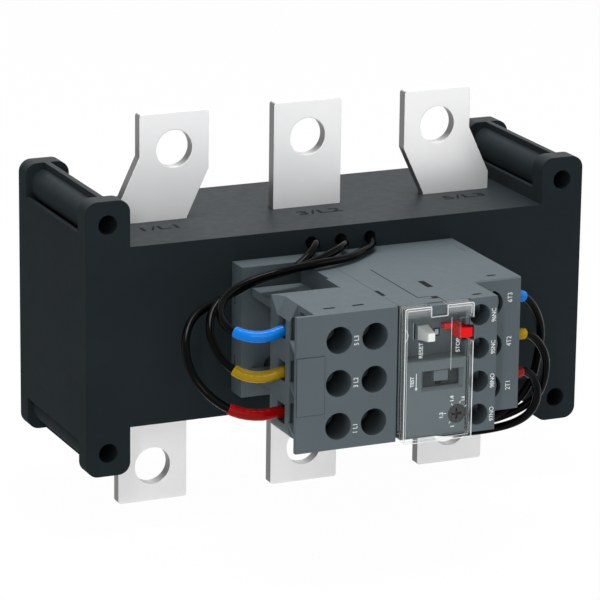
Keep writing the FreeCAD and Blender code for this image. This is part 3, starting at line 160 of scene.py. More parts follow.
def relief(t, b, height, strength, depth, normal=None):
    """Bump of this depth from a height pattern, laid over a normal where one is given."""
    n = node(t, "ShaderNodeBump", Strength=strength, Distance=depth * MM)
    t.links.new(height, n.inputs["Height"])
    if normal:
        t.links.new(normal, n.inputs["Normal"])
    t.links.new(n.outputs[0], b.inputs["Normal"])


def blend(t, share, first, second, out):
    """Send to the output the first shader, which goes over to the second with its share."""
    n = node(t, "ShaderNodeMixShader")
    feed(t, n.inputs, (share, first, second))
    t.links.new(n.outputs[0], out.inputs[0])


def white_rays(t):
    """1 for a ray that meets the stage from the camera, through clear plastic or in a gloss, else 0."""
    path = node(t, "ShaderNodeLightPath").outputs
    seen = calc(t, "MAXIMUM", path["Is Camera Ray"], path["Is Transmission Ray"])
    return calc(t, "MAXIMUM", seen, path["Is Glossy Ray"])


# Finishes
TONE_WAVES, GLOSS_WAVES, STAIN_WAVES = 38.0, 300.0, 55.0
FLOW_STRETCH, FLOW_WAVES = (30, 30, 6), 9.0
GRAIN_DEPTH, SCRATCH_DEPTH = 0.06, 0.05
GLOSSIER, DULLER = 0.06, 0.08
# Occlusion test of the painted shade in hollows: its distance in millimetres, and the open share at which the
# shade is full
SKY_DISTANCE, SKY_SHUT = 10.0, 0.05
ROOF_UP, WALL_UP = 0.9, 0.3
LINE_WAVES, LINE_SHARE = 6.0, 0.35
LINE_GLOSSIER, LINE_DULLER = 0.07, 0.09
# Share of X in a face's normal where the painted shade on a bar's flanks starts and where it is full
SHEET_X, FLANK_X = 0.1, 0.8


def plastic(name, colour, rough, grain, bump, vary, spec=0.5, edge=0.0, streak=0.0, walls=0.0, painted_cavity_shade=1.0,
            reach=0.26):
    """Moulded plastic: spark-eroded grain, uneven gloss and edges rounded by edge.
    Its tone is the colour times 1 - vary to 1 + vary over slow noise, to which flow lines are added times
    streak. Faces that don't look up are rougher by walls, as the mould's draft leaves them. Painted shade:
    where less than reach of the sky within SKY_DISTANCE is open, deep in bores and slots, the tone falls in a
    straight line to its painted shade factor times itself, darkening the colour where shade would fall."""
    m, t, b, _ = new_material(name)
    place = coords(t)
    slow = noise(t, place, TONE_WAVES, 4.0)
    if streak:
        flow = noise(t, coords(t, FLOW_STRETCH), FLOW_WAVES, 5.0, 0.6)
        slow = calc(t, "MULTIPLY_ADD", flow, streak, slow)
    tone = ramp(t, slow, (0.25, shade(colour, 1 - vary)), (0.75 + streak / 2, shade(colour, 1 + vary)))
    # Painted shade: the tone is darkened where ambient occlusion finds little open sky.
    if painted_cavity_shade < 1.0:
        sky = node(t, "ShaderNodeAmbientOcclusion", samples=6, Distance=SKY_DISTANCE * MM).outputs["AO"]
        tone = scaled(t, tone, remap(t, sky, SKY_SHUT, reach, painted_cavity_shade, 1.0))
    t.links.new(tone, b.inputs["Base Color"])
    gloss = remap(t, noise(t, place, GLOSS_WAVES, 3.0), 0.0, 1.0, rough - GLOSSIER, rough + DULLER)
    if walls:
        wall = remap(t, component(t, surface(t, "Normal"), "Z"), ROOF_UP, WALL_UP, 0.0, walls)
        gloss = calc(t, "ADD", gloss, wall)
    t.links.new(gloss, b.inputs["Roughness"])
    relief(t, b, noise(t, place, grain, 2.0, 0.6), bump, GRAIN_DEPTH, rounded(t, edge) if edge else None)
    b.inputs["Specular IOR Level"].default_value = spec
    return m


def metal(name, colour, rough, stretch, bump, vary, metallic=1.0, edge=0.0, flank_shade=1.0, polish=1.0):
    """Rolled or plated metal: fine lines along the axis with the smallest stretch, and faint stains.
    Its tone is the colour times 1 - vary to 1 + vary over the stains plus LINE_SHARE of the lines. Roughness
    follows the lines from rough - LINE_GLOSSIER to rough + LINE_DULLER, both times polish. Faces that look
    along X, the flanks of a flat bar, are painted darker as shade: their tone is the flat faces' times the
    flank shade factor."""
    m, t, b, _ = new_material(name)
    lines = noise(t, coords(t, stretch), LINE_WAVES, 6.0, 0.65)
    stained = calc(t, "MULTIPLY_ADD", lines, LINE_SHARE, noise(t, coords(t), STAIN_WAVES, 4.0))
    tone = ramp(t, stained, (0.45, shade(colour, 1 - vary)), (0.9, shade(colour, 1 + vary)))
    # Painted shade: faces that look along X are darkened.
    if flank_shade < 1.0:
        flank = calc(t, "ABSOLUTE", component(t, surface(t, "True Normal"), "X"))
        tone = scaled(t, tone, remap(t, flank, SHEET_X, FLANK_X, 1.0, flank_shade))
    t.links.new(tone, b.inputs["Base Color"])
    b.inputs["Metallic"].default_value = metallic
    gloss = remap(t, lines, 0.0, 1.0, rough - LINE_GLOSSIER * polish, rough + LINE_DULLER * polish)
    t.links.new(gloss, b.inputs["Roughness"])
    relief(t, b, lines, bump, SCRATCH_DEPTH, rounded(t, edge) if edge else None)
    return m


# Clear cover: the painted sheen of the strip under its top edge, the painted highlight lines on its edges,
# and the box round the cut-out whose edges stay clear
BAND_LOW, BAND_HIGH, BAND_SHEEN = 18.3, 22.0, 0.2
QUIET_X, QUIET_Z = (8.9, 13.05), (9.0, 18.0)
CLEAR_EDGE, CLEAR_RIM = 0.18, 0.85
RIM_STARTS, RIM_FULL = 0.985, 0.80
RIPPLE_DEPTH = 0.2
FLAT_GLOSS, FLAT_HAZE = 0.14, 0.012
CLEAR_TINT = (0.985, 0.995, 0.995, 1)


def clear_plastic(name):
    """Thin clear moulding: a see-through shader that goes over to a glossy one with a share from 0 to 1.
    On flat walls the share is FLAT_GLOSS times Fresnel plus FLAT_HAZE. On edges it grows to CLEAR_RIM as the
    rounded normal leaves the flat one, which paints them as pale highlight lines, but not in the box QUIET_X,
    QUIET_Z.
    On front faces from BAND_LOW to BAND_HIGH it grows to the band's share, a painted sheen under the top
    edge.
    The largest counts. Shadow and diffuse rays pass as if it were 0."""
    m, t, b, out = new_material(name)
    place = coords(t)
    tone = ramp(t, noise(t, place, 60.0, 3.0), (0.3, (0.92, 0.94, 0.95)), (0.7, (0.97, 0.98, 0.98)))
    t.links.new(tone, b.inputs["Base Color"])
    b.inputs["Roughness"].default_value = 0.12
    b.inputs["IOR"].default_value = 1.45
    round_normal = rounded(t, CLEAR_EDGE)
    relief(t, b, noise(t, place, 90.0, 2.0), 0.02, RIPPLE_DEPTH, round_normal)
    level = node(t, "ShaderNodeVectorMath", operation="DOT_PRODUCT")
    feed(t, level.inputs, (round_normal, surface(t, "Normal")))
    # Painted highlight: the cover's edges turn pale.
    rim = remap(t, level.outputs["Value"], RIM_STARTS, RIM_FULL, 0.0, CLEAR_RIM)
    across, height = component(t, place, "X"), component(t, place, "Z")
    in_x = between(t, across, QUIET_X[0] * MM, QUIET_X[1] * MM)
    in_z = between(t, height, QUIET_Z[0] * MM, QUIET_Z[1] * MM)
    rim = calc(t, "MULTIPLY", rim, calc(t, "SUBTRACT", 1.0, calc(t, "MULTIPLY", in_x, in_z)))
    fresnel = node(t, "ShaderNodeLayerWeight", Blend=0.12).outputs["Fresnel"]
    flat = calc(t, "MULTIPLY_ADD", fresnel, FLAT_GLOSS, FLAT_HAZE)
    front = calc(t, "ABSOLUTE", component(t, surface(t, "True Normal"), "Y"))
    # Painted sheen: a paler band on the front faces under the top edge.
    sheen_band = calc(t, "MULTIPLY", remap(t, height, BAND_LOW * MM, BAND_HIGH * MM, 0.0, BAND_SHEEN), front)
    seen = calc(t, "MAXIMUM", rim, calc(t, "MAXIMUM", sheen_band, flat))
    path = node(t, "ShaderNodeLightPath").outputs
    passing = calc(t, "MAXIMUM", path["Is Shadow Ray"], path["Is Diffuse Ray"])
    share = calc(t, "MULTIPLY", seen, calc(t, "SUBTRACT", 1.0, passing))
    clear = node(t, "ShaderNodeBsdfTransparent", Color=CLEAR_TINT)
    blend(t, share, clear.outputs[0], b.outputs[0], out)
    return m


# Each finish: its colour, roughness, waves of the grain or stretch of the lines, bump and tone change
GREY = (0.089, 0.1135, 0.1245)
BLACK = (0.0130, 0.0187, 0.0214)
GREY_SKIN = {"spec": 0.22, "edge": 0.22}
# The sleeves' painted shade darkens their undersides and their ends in the terminal windows
SLEEVE_SKIN = {"spec": 0.1, "painted_cavity_shade": 0.1, "reach": 0.9}
# A painted shade factor under 1 darkens a plastic's tone in its hollows, where shade falls
MAT = {
    "black": plastic("black_moulding", BLACK, 0.46, 1800.0, 0.12, 0.10, spec=0.12, edge=0.4, streak=0.1,
                     walls=0.5, painted_cavity_shade=0.22, reach=0.42),
    "grey": plastic("grey_moulding", GREY, 0.52, 2600.0, 0.12, 0.04, painted_cavity_shade=0.2, **GREY_SKIN),
    # The cap's grey is the same grey with darker, wider painted shade in its bores
    "cap_grey": plastic("cap_moulding", GREY, 0.52, 2600.0, 0.12, 0.04, painted_cavity_shade=0.12, reach=0.5,
                        **GREY_SKIN),
    # Painted shade: the base plate's grey is the grey made darker, with wide painted shade in its hollows,
    # for the shade it lies in beside the terminal block
    "base_grey_painted_shade": plastic("base_moulding_painted_shade", shade(GREY, 0.93), 0.52, 2600.0, 0.12, 0.04, painted_cavity_shade=0.2,
                         reach=0.85, **GREY_SKIN),
    "panel": plastic("panel_moulding", (0.108, 0.131, 0.142), 0.45, 2600.0, 0.08, 0.04, spec=0.3, edge=0.2),
    "white": plastic("white_moulding", (0.93, 0.93, 0.90), 0.35, 2200.0, 0.05, 0.02, spec=0.3, edge=0.3),
    "red": plastic("red_moulding", (0.82, 0.005, 0.009), 0.34, 2200.0, 0.05, 0.06, spec=0.12, edge=0.35),
    "dial": plastic("dial_moulding", (0.009, 0.010, 0.011), 0.4, 2200.0, 0.08, 0.08, edge=0.2),
    "cream": plastic("cream_moulding", (0.6, 0.56, 0.46), 0.45, 2200.0, 0.1, 0.05, edge=0.15),
    "tape": plastic("winding_tape", (0.5, 0.33, 0.06), 0.4, 900.0, 0.3, 0.12),
    # The bars' flanks get painted shade
    "tin": metal("tinned_copper", (0.98, 0.98, 0.98), 0.35, (14, 420, 420), 0.012, 0.015, metallic=0.5,
                 edge=0.3, flank_shade=0.17, polish=0.3),
    # Painted shade: the screws deep in the bores are a darkened zinc, for the shade of their bores
    "zinc_painted_shade": metal("zinc_plated_steel_painted_shade", (0.10, 0.105, 0.11), 0.45, (90, 90, 90), 0.05, 0.1, edge=0.15),
    "zinc": metal("zinc_plated_steel", (0.6, 0.61, 0.6), 0.33, (90, 90, 90), 0.05, 0.1, edge=0.15),
    "copper": metal("copper_alloy", (0.7, 0.38, 0.2), 0.35, (90, 90, 90), 0.05, 0.1, edge=0.1),
    "bimetal": metal("bimetal_strip_steel", (0.5, 0.48, 0.43), 0.4, (14, 260, 260), 0.08, 0.1),
    "core": metal("core_strip", (0.25, 0.25, 0.27), 0.45, (60, 60, 900), 0.2, 0.1),
    "lead": plastic("lead_insulation", (0.0008, 0.0010, 0.0011), 0.10, 1500.0, 0.005, 0.2, spec=0.05),
    "blue": plastic("blue_sleeving", (0.003, 0.178, 0.64), 0.2, 1500.0, 0.02, 0.08, **SLEEVE_SKIN),
    "yellow": plastic("yellow_sleeving", (0.36, 0.225, 0.001), 0.2, 1500.0, 0.02, 0.06, **SLEEVE_SKIN),
    "crimson": plastic("red_sleeving", (0.25, 0.001, 0.001), 0.2, 1500.0, 0.02, 0.08, **SLEEVE_SKIN),
    "ink": plastic("white_ink", (0.82, 0.85, 0.86), 0.5, 3000.0, 0.05, 0.04),
    "faint_ink": plastic("faint_ink", (0.36, 0.42, 0.47), 0.5, 3000.0, 0.05, 0.04),
    # Dark print, also laid on as painted shade in roof slots, a gap and moulded numbers
    "dark_ink_and_painted_shade": plastic("dark_ink_and_painted_shade", (0.004, 0.0045, 0.005), 0.7, 3000.0, 0.05, 0.04, spec=0.1),
    "clear": clear_plastic("clear_moulding"),
    # Pale plastic of the beads that paint highlights on the clear cover's edges
    "rim": plastic("painted_edge_glint", (0.95, 0.96, 0.96), 0.15, 1500.0, 0.02, 0.03, spec=0.8),
}


def three(*stems):
    """The names of pieces that come once for each pole."""
    return tuple("%s_%d" % (stem, pole) for stem in stems for pole in (1, 2, 3))


WEARS = {
    "black": ("housing", "back_cover", "lead_grip_upper", "lead_grip_lower"),
    "cap_grey": ("terminal_cap",),
    "base_grey_painted_shade": ("base_plate",),
    "grey": ("terminal_block", "relay_case", "relay_back", "marker_tab"),
    "panel": ("label_panel", "test_slider"),
    "clear": ("cover",),
    "white": ("reset_button",),
    "red": ("stop_button", "trip_flag"),
    "dial": ("current_dial",),
    "cream": ("bimetal_carrier", "trip_slider", "trip_lever", "contact_carrier", "bar_sleeves"),
    "tape": three("secondary_winding"),
    "core": ("ring_cores",),
    "tin": three("bus_bar"),
    "zinc": ("cover_screws", "base_screws", "terminal_clamps", "load_clamps", "lever_pin"),
    "zinc_painted_shade": ("load_screws", "terminal_screws", "aux_screws"),
    "copper": ("link_bars", "relay_pins", "load_conductors", "fixed_contacts", "contact_bridges"),
    "bimetal": three("bimetal_strip", "heater"),
    "blue": ("blue_sleeves",),
    "yellow": ("yellow_sleeves",),
    "crimson": ("red_sleeves",),
    "lead": three("line_lead", "load_lead"),
}
for finish, names in WEARS.items():
    for name in names:
        NODES[name].data.materials.clear()
        NODES[name].data.materials.append(MAT[finish])


# Meshes
def mesh_object(name, verts, faces, mat, smooth=True):
    """Object at the origin from points in metres and faces."""
    me = bpy.data.meshes.new(name)
    me.from_pydata(np.asarray(verts, float).tolist(), [], faces)
    me.validate()
    me.materials.append(mat)
    if smooth:
        me.polygons.foreach_set("use_smooth", np.ones(len(me.polygons), bool))
    o = bpy.data.objects.new(name, me)
    bpy.context.collection.objects.link(o)
    return o


def as_mesh(curve):
    """Mesh of a curve or of text, as Blender draws it."""
    o = bpy.data.objects.new("probe", curve)
    bpy.context.collection.objects.link(o)
    bpy.context.view_layer.update()
    me = bpy.data.meshes.new_from_object(o)
    bpy.data.objects.remove(o)
    return me


def points_of(me):
    """Points of a mesh as one array."""
    points = np.empty(3 * len(me.vertices), np.float32)
    me.vertices.foreach_get("co", points)
    return points.reshape(-1, 3).astype(float)


# Leads: the routes repeat the part's own points
LEAD_D = 2.8
LEADS = {
    "line_lead_1": (
        (-10.7, -58, 26.1), (-10.7, -66, 26.1), (-12.1, -71.6, 28.2), (-16.3, -76.6, 26.3),
        (-24.4, -80.1, 22), (-37.3, -80.8, 20.7), (-50.5, -82.9, 16), (-62.9, -87.1, 13.1),
        (-69.4, -94.8, 6.8), (-70.2, -102.3, -1.9), (-65.7, -107.7, -8.8), (-58.7, -111.3, -13.7),
        (-50.4, -113.5, -15.3), (-43, -113.6, -14.4), (-34.2, -113.4, -14.4),
    ),
    "line_lead_2": (
        (0.1, -58, 26.1), (0.1, -66, 26.1), (-2.1, -72.9, 27.1), (-7.2, -78.1, 27), (-14.8, -81, 25.2),
        (-24.1, -82.8, 23.5), (-34.9, -83.7, 22.1), (-46.4, -84.6, 19.7), (-56.3, -87.9, 15.3),
        (-60.9, -94.9, 9.3), (-59.9, -101.8, 2.1), (-55.3, -107, -2.5), (-48.9, -111.1, -3.5),
        (-42, -113.6, -1), (-34.2, -113.4, -0.2),
    ),
    "line_lead_3": (
        (10.9, -58, 26.1), (10.9, -66, 26.1), (8.5, -70.7, 24.7), (3.4, -75.2, 24.6),
        (-4.7, -81.2, 24.6), (-17, -85.1, 25.1), (-30.8, -86.7, 24.2), (-43.4, -86.8, 22.1),
        (-53.3, -90.3, 19.1), (-58.2, -97.2, 15.6), (-58.4, -104.3, 12.5), (-53.9, -110, 10.8),
        (-48, -112.9, 10.8), (-42, -113.6, 12.9), (-34.2, -113.4, 13.9),
    ),
    "load_lead_1": (
        (35.5, -109, -14.3), (42, -109, -13.8), (48.6, -106.2, -12.9), (54, -104, -17),
        (56.5, -102.5, -24.1), (55.8, -99.1, -31), (52.2, -93.7, -36.2), (44.7, -87.9, -39.3),
        (34.7, -83.4, -40.6), (23.7, -80.3, -39.4), (12.8, -77.9, -36.1), (2.8, -75.1, -32.1),
        (-5.5, -71, -28.5), (-10.7, -65, -26.1), (-10.7, -58, -26.1),
    ),
    "load_lead_2": (
        (35.5, -109, 0), (42, -109, 0.4), (48.6, -108, 0.4), (53.6, -106.3, -3.4),
        (57.6, -104.9, -9.4), (58.9, -102.6, -17.4), (58.2, -98.7, -26.1), (52.7, -93.1, -32.2),
        (43.5, -88.5, -36.1), (33.1, -84.2, -37), (22.9, -80, -35.1), (13.7, -75.8, -31.7),
        (5.6, -71.3, -28.3), (0.1, -65.5, -26.1), (0.1, -58, -26.1),
    ),
    "load_lead_3": (
        (35.5, -109, 14.3), (42, -109, 14.4), (48.4, -106.7, 12.6), (53.6, -104.4, 6.7),
        (57.2, -102.1, -1.4), (57.4, -99.5, -10.5), (56.5, -97.8, -20.1), (51.7, -95.3, -28.2),
        (44.4, -92.3, -33.7), (35.9, -88.8, -35.3), (27.6, -84.6, -33.7), (20.2, -79.1, -30.7),
        (14.3, -72.4, -27.9), (10.9, -65, -26.1), (10.9, -58, -26.1),
    ),
}

# Marking sleeves: colour, and how far their near and far end lie from the lead's end at the relay
SLEEVES = {
    "line_lead_1": ("crimson", 6.0, 26.8),
    "line_lead_2": ("yellow", 6.0, 24.8),
    "line_lead_3": ("blue", 6.0, 24.8),
    "load_lead_1": ("crimson", 1.2, 12.0),
    "load_lead_2": ("yellow", 1.2, 12.0),
    "load_lead_3": ("blue", 1.2, 12.0),
}
SLEEVE_NODES = {"crimson": "red_sleeves", "yellow": "yellow_sleeves", "blue": "blue_sleeves"}
SLEEVE_R, SLEEVE_WAVE, WAVE_TURN = 1.93, 0.012, 5.0
SLEEVE_STATIONS, SLEEVE_SIDES = 44, 32
SIDE_HINT = (0.1, 0.2, 1.0)

# Section of a sleeve's rim, from the lead out to the sleeve: way in from the end, height over the lead
RIM = np.array(((0.9, 0.04), (0.15, 0.04), (0.0, 0.12), (0.0, 0.36), (0.06, 0.47), (0.18, 0.53)))


def route(name, kind, points):
    """Open curve of one kind along points."""
    c = bpy.data.curves.new(name, "CURVE")
    c.dimensions = "3D"
    s = c.splines.new(kind)
    s.points.add(len(points) - 1)
    places = np.ones((len(points), 4))
    places[:, :3] = np.array(points, float) * MM
    s.points.foreach_set("co", places.ravel())
    return c


def smooth_route(name, points):
    """Third-order NURBS curve that starts and ends on its end points."""
    c = route(name, "NURBS", points)
    s = c.splines[0]
    s.order_u = 3
    s.use_endpoint_u = True
    s.resolution_u = 12
    return c


def stretch_of(line, start, end):
    """Points and unit directions at even steps of a line of points, from one length along it to another."""
    run = np.r_[0, np.cumsum(np.linalg.norm(np.diff(line, axis=0), axis=1))]
    steps = np.linspace(start, end, SLEEVE_STATIONS)
    points = np.stack([np.interp(steps, run, line[:, axis]) for axis in range(3)], 1)
    along = np.gradient(points, axis=0)
    along /= np.linalg.norm(along, axis=1)[:, None]
    return points, along


def carried_sides(along):
    """Side vectors of a path without twist: each is the last less its share along the path, made a unit."""
    sides = np.empty_like(along)
    side = np.cross(along[0], SIDE_HINT)
    for station, forward in enumerate(along):
        side = side - forward * (side @ forward)
        side = side / np.linalg.norm(side)
        sides[station] = side
    return sides


def tube_faces(rings, sides):
    """Quads of a tube: corners j and j + 1 of a ring, then of the next one. The last side closes on 0."""
    start = np.arange(rings - 1)[:, None] * sides
    j = start + np.arange(sides)
    k = start + (np.arange(sides) + 1) % sides
    return np.stack([j, k, k + sides, j + sides], -1).reshape(-1, 4).tolist()


def sleeve_skin(name, points, along, mat):
    """Sleeve round a path: point = path + off along it + r (cos a times side + sin a times up).
    Between the rims off is 0 and r at station i is SLEEVE_R (1 + SLEEVE_WAVE sin(WAVE_TURN i)). On the two
    rims off and r follow the section RIM."""
    last = len(points) - 1
    middle = np.arange(1, last)
    station = np.r_[np.zeros(len(RIM), int), middle, np.full(len(RIM), last)]
    off = np.r_[RIM[:, 0], np.zeros(len(middle)), -RIM[::-1, 0]] * MM
    wavy = SLEEVE_R * (1 + SLEEVE_WAVE * np.sin(WAVE_TURN * middle))
    r = np.r_[LEAD_D / 2 + RIM[:, 1], wavy, LEAD_D / 2 + RIM[::-1, 1]] * MM
    side = carried_sides(along)
    up = np.cross(along, side)
    a = np.linspace(0, 2 * math.pi, SLEEVE_SIDES, endpoint=False)[None, :, None]
    out = np.cos(a) * side[station][:, None] + np.sin(a) * up[station][:, None]
    centre = points[station] + along[station] * off[:, None]
    verts = centre[:, None] + r[:, None, None] * out
    return mesh_object(name, verts.reshape(-1, 3), tube_faces(len(station), SLEEVE_SIDES), mat)


def lead_with_sleeve(name, points):
    """One lead as a round cord on its route, and the marking sleeve on its end at the relay."""
    curve = smooth_route(name + "_cord", points)
    probe = as_mesh(curve)
    line = points_of(probe)
    bpy.data.meshes.remove(probe)
    curve.bevel_depth = LEAD_D / 2 * MM
    curve.bevel_resolution = 6
    curve.use_fill_caps = True
    curve.materials.append(MAT["lead"])
    cord = bpy.data.objects.new(name + "_cord", curve)
    bpy.context.collection.objects.link(cord)
    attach(cord, ROOT)
    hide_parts(name)
    length = float(np.linalg.norm(np.diff(line, axis=0), axis=1).sum())
    colour, near, far = SLEEVES[name]
    start, end = near * MM, far * MM
    if name.startswith("line"):
        start, end = length - end, length - start
    sleeve = sleeve_skin(name + "_sleeve", *stretch_of(line, start, end), MAT[colour])
    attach(sleeve, ROOT)
    return colour, sleeve


sleeves = [lead_with_sleeve(name, points) for name, points in LEADS.items()]
for colour, node_name in SLEEVE_NODES.items():
    for worn, sleeve in sleeves:
        if worn == colour:
            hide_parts(node_name)


# Lettering
def words(name, text, place, height, mat, body, right=(0, 0, 1), up=(-1, 0, 0), thick=0.03, wide=1.0,
          bold=0.0):
    """Raised print, its middle at place, reading along right with its tops towards up.
    Each flat point (x, y) of the letters goes to place + x right + y up + thick out, and walls lead back
    from their outline to the surface."""
    c = bpy.data.curves.new(name, "FONT")
    c.body = text
    c.align_x = "CENTER"
    c.align_y = "CENTER"
    c.size = 1.0
    c.offset = bold
    c.resolution_u = 4
    probe = as_mesh(c)
    flat = points_of(probe)
    faces = [tuple(p.vertices) for p in probe.polygons]
    bpy.data.meshes.remove(probe)
    low, high = flat.min(0), flat.max(0)
    k = height / (high[1] - low[1])
    xy = (flat[:, :2] - (low[:2] + high[:2]) / 2) * k * np.array([wide, 1.0])
    right, up = np.array(right, float), np.array(up, float)
    base = np.array(place, float) + xy[:, :1] * right + xy[:, 1:] * up
    n = len(base)
    verts = np.concatenate([base + np.cross(right, up) * thick, base])
    steps = [step for face in faces for step in zip(face, face[1:] + face[:1])]
    taken = set(steps)
    walls = [(b, a, a + n, b + n) for a, b in steps if (b, a) not in taken]
    o = mesh_object(name, verts * MM, faces + walls, mat, smooth=False)
    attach(o, body)


INK, FAINT, DARK = MAT["ink"], MAT["faint_ink"], MAT["dark_ink_and_painted_shade"]
CAP_Y, LOAD_Y, PANEL_Y, COVER_Y = -133.7, -116.1, -134.5, -137.0
POLE_X, CONTACT_X, LOAD_X = -26.0, 22.75, 37.6
BLOCK_TOP = 31.0
for pole, text, z in ((3, "5 L3", 13.05), (2, "3 L2", -0.9), (1, "1 L1", -16.3)):
    words("pole_number_%d" % pole, text, (POLE_X, CAP_Y, z), 1.6, INK, ROOT, wide=0.85)
for text, z in (("96NC", 16.3), ("95NC", 5.5), ("98NO", -5.9), ("97NO", -17.2)):
    words("contact_number_" + text[:2], text, (CONTACT_X, CAP_Y, z), 1.55, INK, ROOT, wide=0.85)
for text, z in (("6T3", 15.9), ("4T2", 0.9), ("2T1", -14.4)):
    words("load_number_" + text[0], text, (LOAD_X, LOAD_Y, z), 1.7, INK, ROOT, wide=0.88)
# The bar numbers are moulded into the black top; their darker black paints the shade in their strokes
for text, x, y in (("1/L1", -57.7, -44.6), ("3/L2", 1.0, -44.3), ("5/L3", 56.2, -43.4)):
    words("bar_number_" + text[0], text, (x, y, BLOCK_TOP), 4.4, DARK, ROOT, right=(1, 0, 0), up=(0, 1, 0),
          wide=1.55, thick=0.05, bold=0.012)
words("reset_word", "RESET", (-4.84, COVER_Y, 8.3), 1.4, INK, COVER_BODY)
words("stop_word", "STOP", (8.3, COVER_Y, 8.7), 1.4, INK, COVER_BODY, wide=0.98)
words("test_word", "TEST", (-6.5, PANEL_Y, -2.9), 1.35, INK, ROOT, wide=0.9, bold=0.02)

# Numbers round the dial: text, x, z, height and width
DIAL_NUMBERS = (("1", 8.3, -19.5, 1.35, 1.0), ("1.2", 4.2, -15.2, 1.35, 1.0), ("1.4", 7.9, -10.0, 1.35, 1.0),
                ("1.6", 11.9, -10.4, 1.25, 0.85))
for number, (text, x, z, height, wide) in enumerate(DIAL_NUMBERS, 1):
    words("dial_number_%d" % number, text, (x, PANEL_Y, z), height, INK, ROOT, wide=wide, bold=0.03)


# Flat marks and lines
MARK_H = 0.04


def mark(name, face, foot, mat):
    """Thin flat mark: its face outline, counter-clockwise from outside, and the same outline on the surface.
    Its side i joins the points i and i + 1 of both."""
    n = len(face)
    i = np.arange(n)
    j = (i + 1) % n
    sides = np.stack([j, i, i + n, j + n], -1).tolist()
    o = mesh_object(name, np.concatenate([face, foot]) * MM, [i.tolist()] + sides, mat, smooth=False)
    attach(o, ROOT)


def front_mark(name, outline, y, mat):
    """Mark on a face that looks to -Y, from the (x, z) points of its outline: it stands MARK_H before y."""
    x, z = np.array(outline, float).T
    face, foot = (np.stack([x, np.full_like(x, depth), z], -1) for depth in (y - MARK_H, y))
    mark(name, face, foot, mat)


def front_line(name, a, b, width, y, mat):
    """Straight line from a to b (x, z): a mark with its long sides half a width out to each side."""
    a, b = np.array(a, float), np.array(b, float)
    along = (b - a) / np.linalg.norm(b - a)
    side = np.array([-along[1], along[0]]) * width / 2
    front_mark(name, [a - side, b - side, b + side, a + side], y, mat)


PRINT_W = 0.24
front_line("test_arrow_shaft", (-5.0, -0.25), (-5.0, -5.2), PRINT_W, PANEL_Y, INK)
front_mark("test_arrow_head", [(-5.45, -5.1), (-5.0, -6.1), (-4.55, -5.1)], PANEL_Y, INK)

# Ticks round the dial: each runs half its length in and out from its middle, in line with the dial's
DIAL = np.array((9.8, -15.3))
TICKS = np.array(((5.51, -14.84), (7.29, -18.07), (8.03, -12.09), (10.9, -11.58), (12.96, -13.05)))
HALF_TICK = 0.4
for number, middle in enumerate(TICKS, 1):
    outward = (middle - DIAL) / np.linalg.norm(middle - DIAL) * HALF_TICK
    front_line("dial_tick_%d" % number, middle - outward, middle + outward, PRINT_W, PANEL_Y, INK)

# Painted highlights on the clear cover's edges, drawn as pale beads: outline, nib and cut-out of its front,
# and where its beads run
COVER_LOW, COVER_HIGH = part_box("cover")
LEFT, FRONT, FOOT = (v / MM for v in COVER_LOW)
RIGHT, TOP = COVER_HIGH[0] / MM, COVER_HIGH[2] / MM
BEAD_R, INNER_R, HAIR_R, SCOOP_R, SIGHT_R = 0.13, 0.1, 0.06, 0.09, 0.055
NIB_X0, NIB_X1, NIB_Z = -1.1, 4.5, 19.0
CUT_Z0, CUT_Z1 = 9.5, 17.5
EDGE_IN, LIP, GAP = 0.12, 0.85, 0.1
TOP_CORNER, NIB_CORNER, FOOT_CORNER = 0.6, 0.5, 0.5
NIB_CLEAR, CUT_CLEAR, FOOT_CLEAR = 0.4, 1.2, 0.3
BEAD_Y = FRONT + GAP
BEAD_START = FOOT + 0.4
LEFT_BEAD, RIGHT_BEAD = LEFT + EDGE_IN, RIGHT - EDGE_IN
FOOT_BEAD, TOP_BEAD = FOOT + EDGE_IN, TOP - EDGE_IN
NIB_LEFT, NIB_RIGHT, NIB_FOOT = NIB_X0 - GAP, NIB_X1 + GAP, NIB_Z - GAP
INNER_LEFT, INNER_RIGHT, INNER_TOP = LEFT + LIP, RIGHT - LIP, TOP - LIP - GAP
INNER_FOOT = FOOT + LIP + FOOT_CLEAR
SCOOP_Z, SCOOP_H, SCOOP_IN, SCOOP_STEPS = 13.6, 2.7, 1.0, 16
SIGHT_X, SIGHT_FOOT, SIGHT_TOP = 6.05, 0.4, TOP - 4.2


def painted_glint_bead(name, line, radius):
    """Pale round bead of one radius on the cover's front edge, along (x, z) points: a painted highlight line.
    """
    c = route(name, "POLY", [(x, BEAD_Y, z) for x, z in line])
    c.bevel_depth = radius * MM
    c.bevel_resolution = 2
    c.use_fill_caps = True
    me = as_mesh(c)
    me.materials.clear()
    me.materials.append(MAT["rim"])
    me.polygons.foreach_set("use_smooth", np.ones(len(me.polygons), bool))
    piece = bpy.data.objects.new(name, me)
    bpy.context.collection.objects.link(piece)
    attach(piece, COVER_BODY)


def scoop_line():
    """Finger scoop in the cover's left edge: a cosine wave, x = edge + SCOOP_IN (1 + cos(pi h / SCOOP_H)) / 2
    at the height h over its middle, less its first and last point, where it meets the edge."""
    h = np.linspace(-SCOOP_H, SCOOP_H, SCOOP_STEPS + 1)[1:-1]
    wave = SCOOP_IN * 0.5 * (1 + np.cos(math.pi * h / SCOOP_H))
    return np.stack([LEFT_BEAD + wave, SCOOP_Z + h], -1)


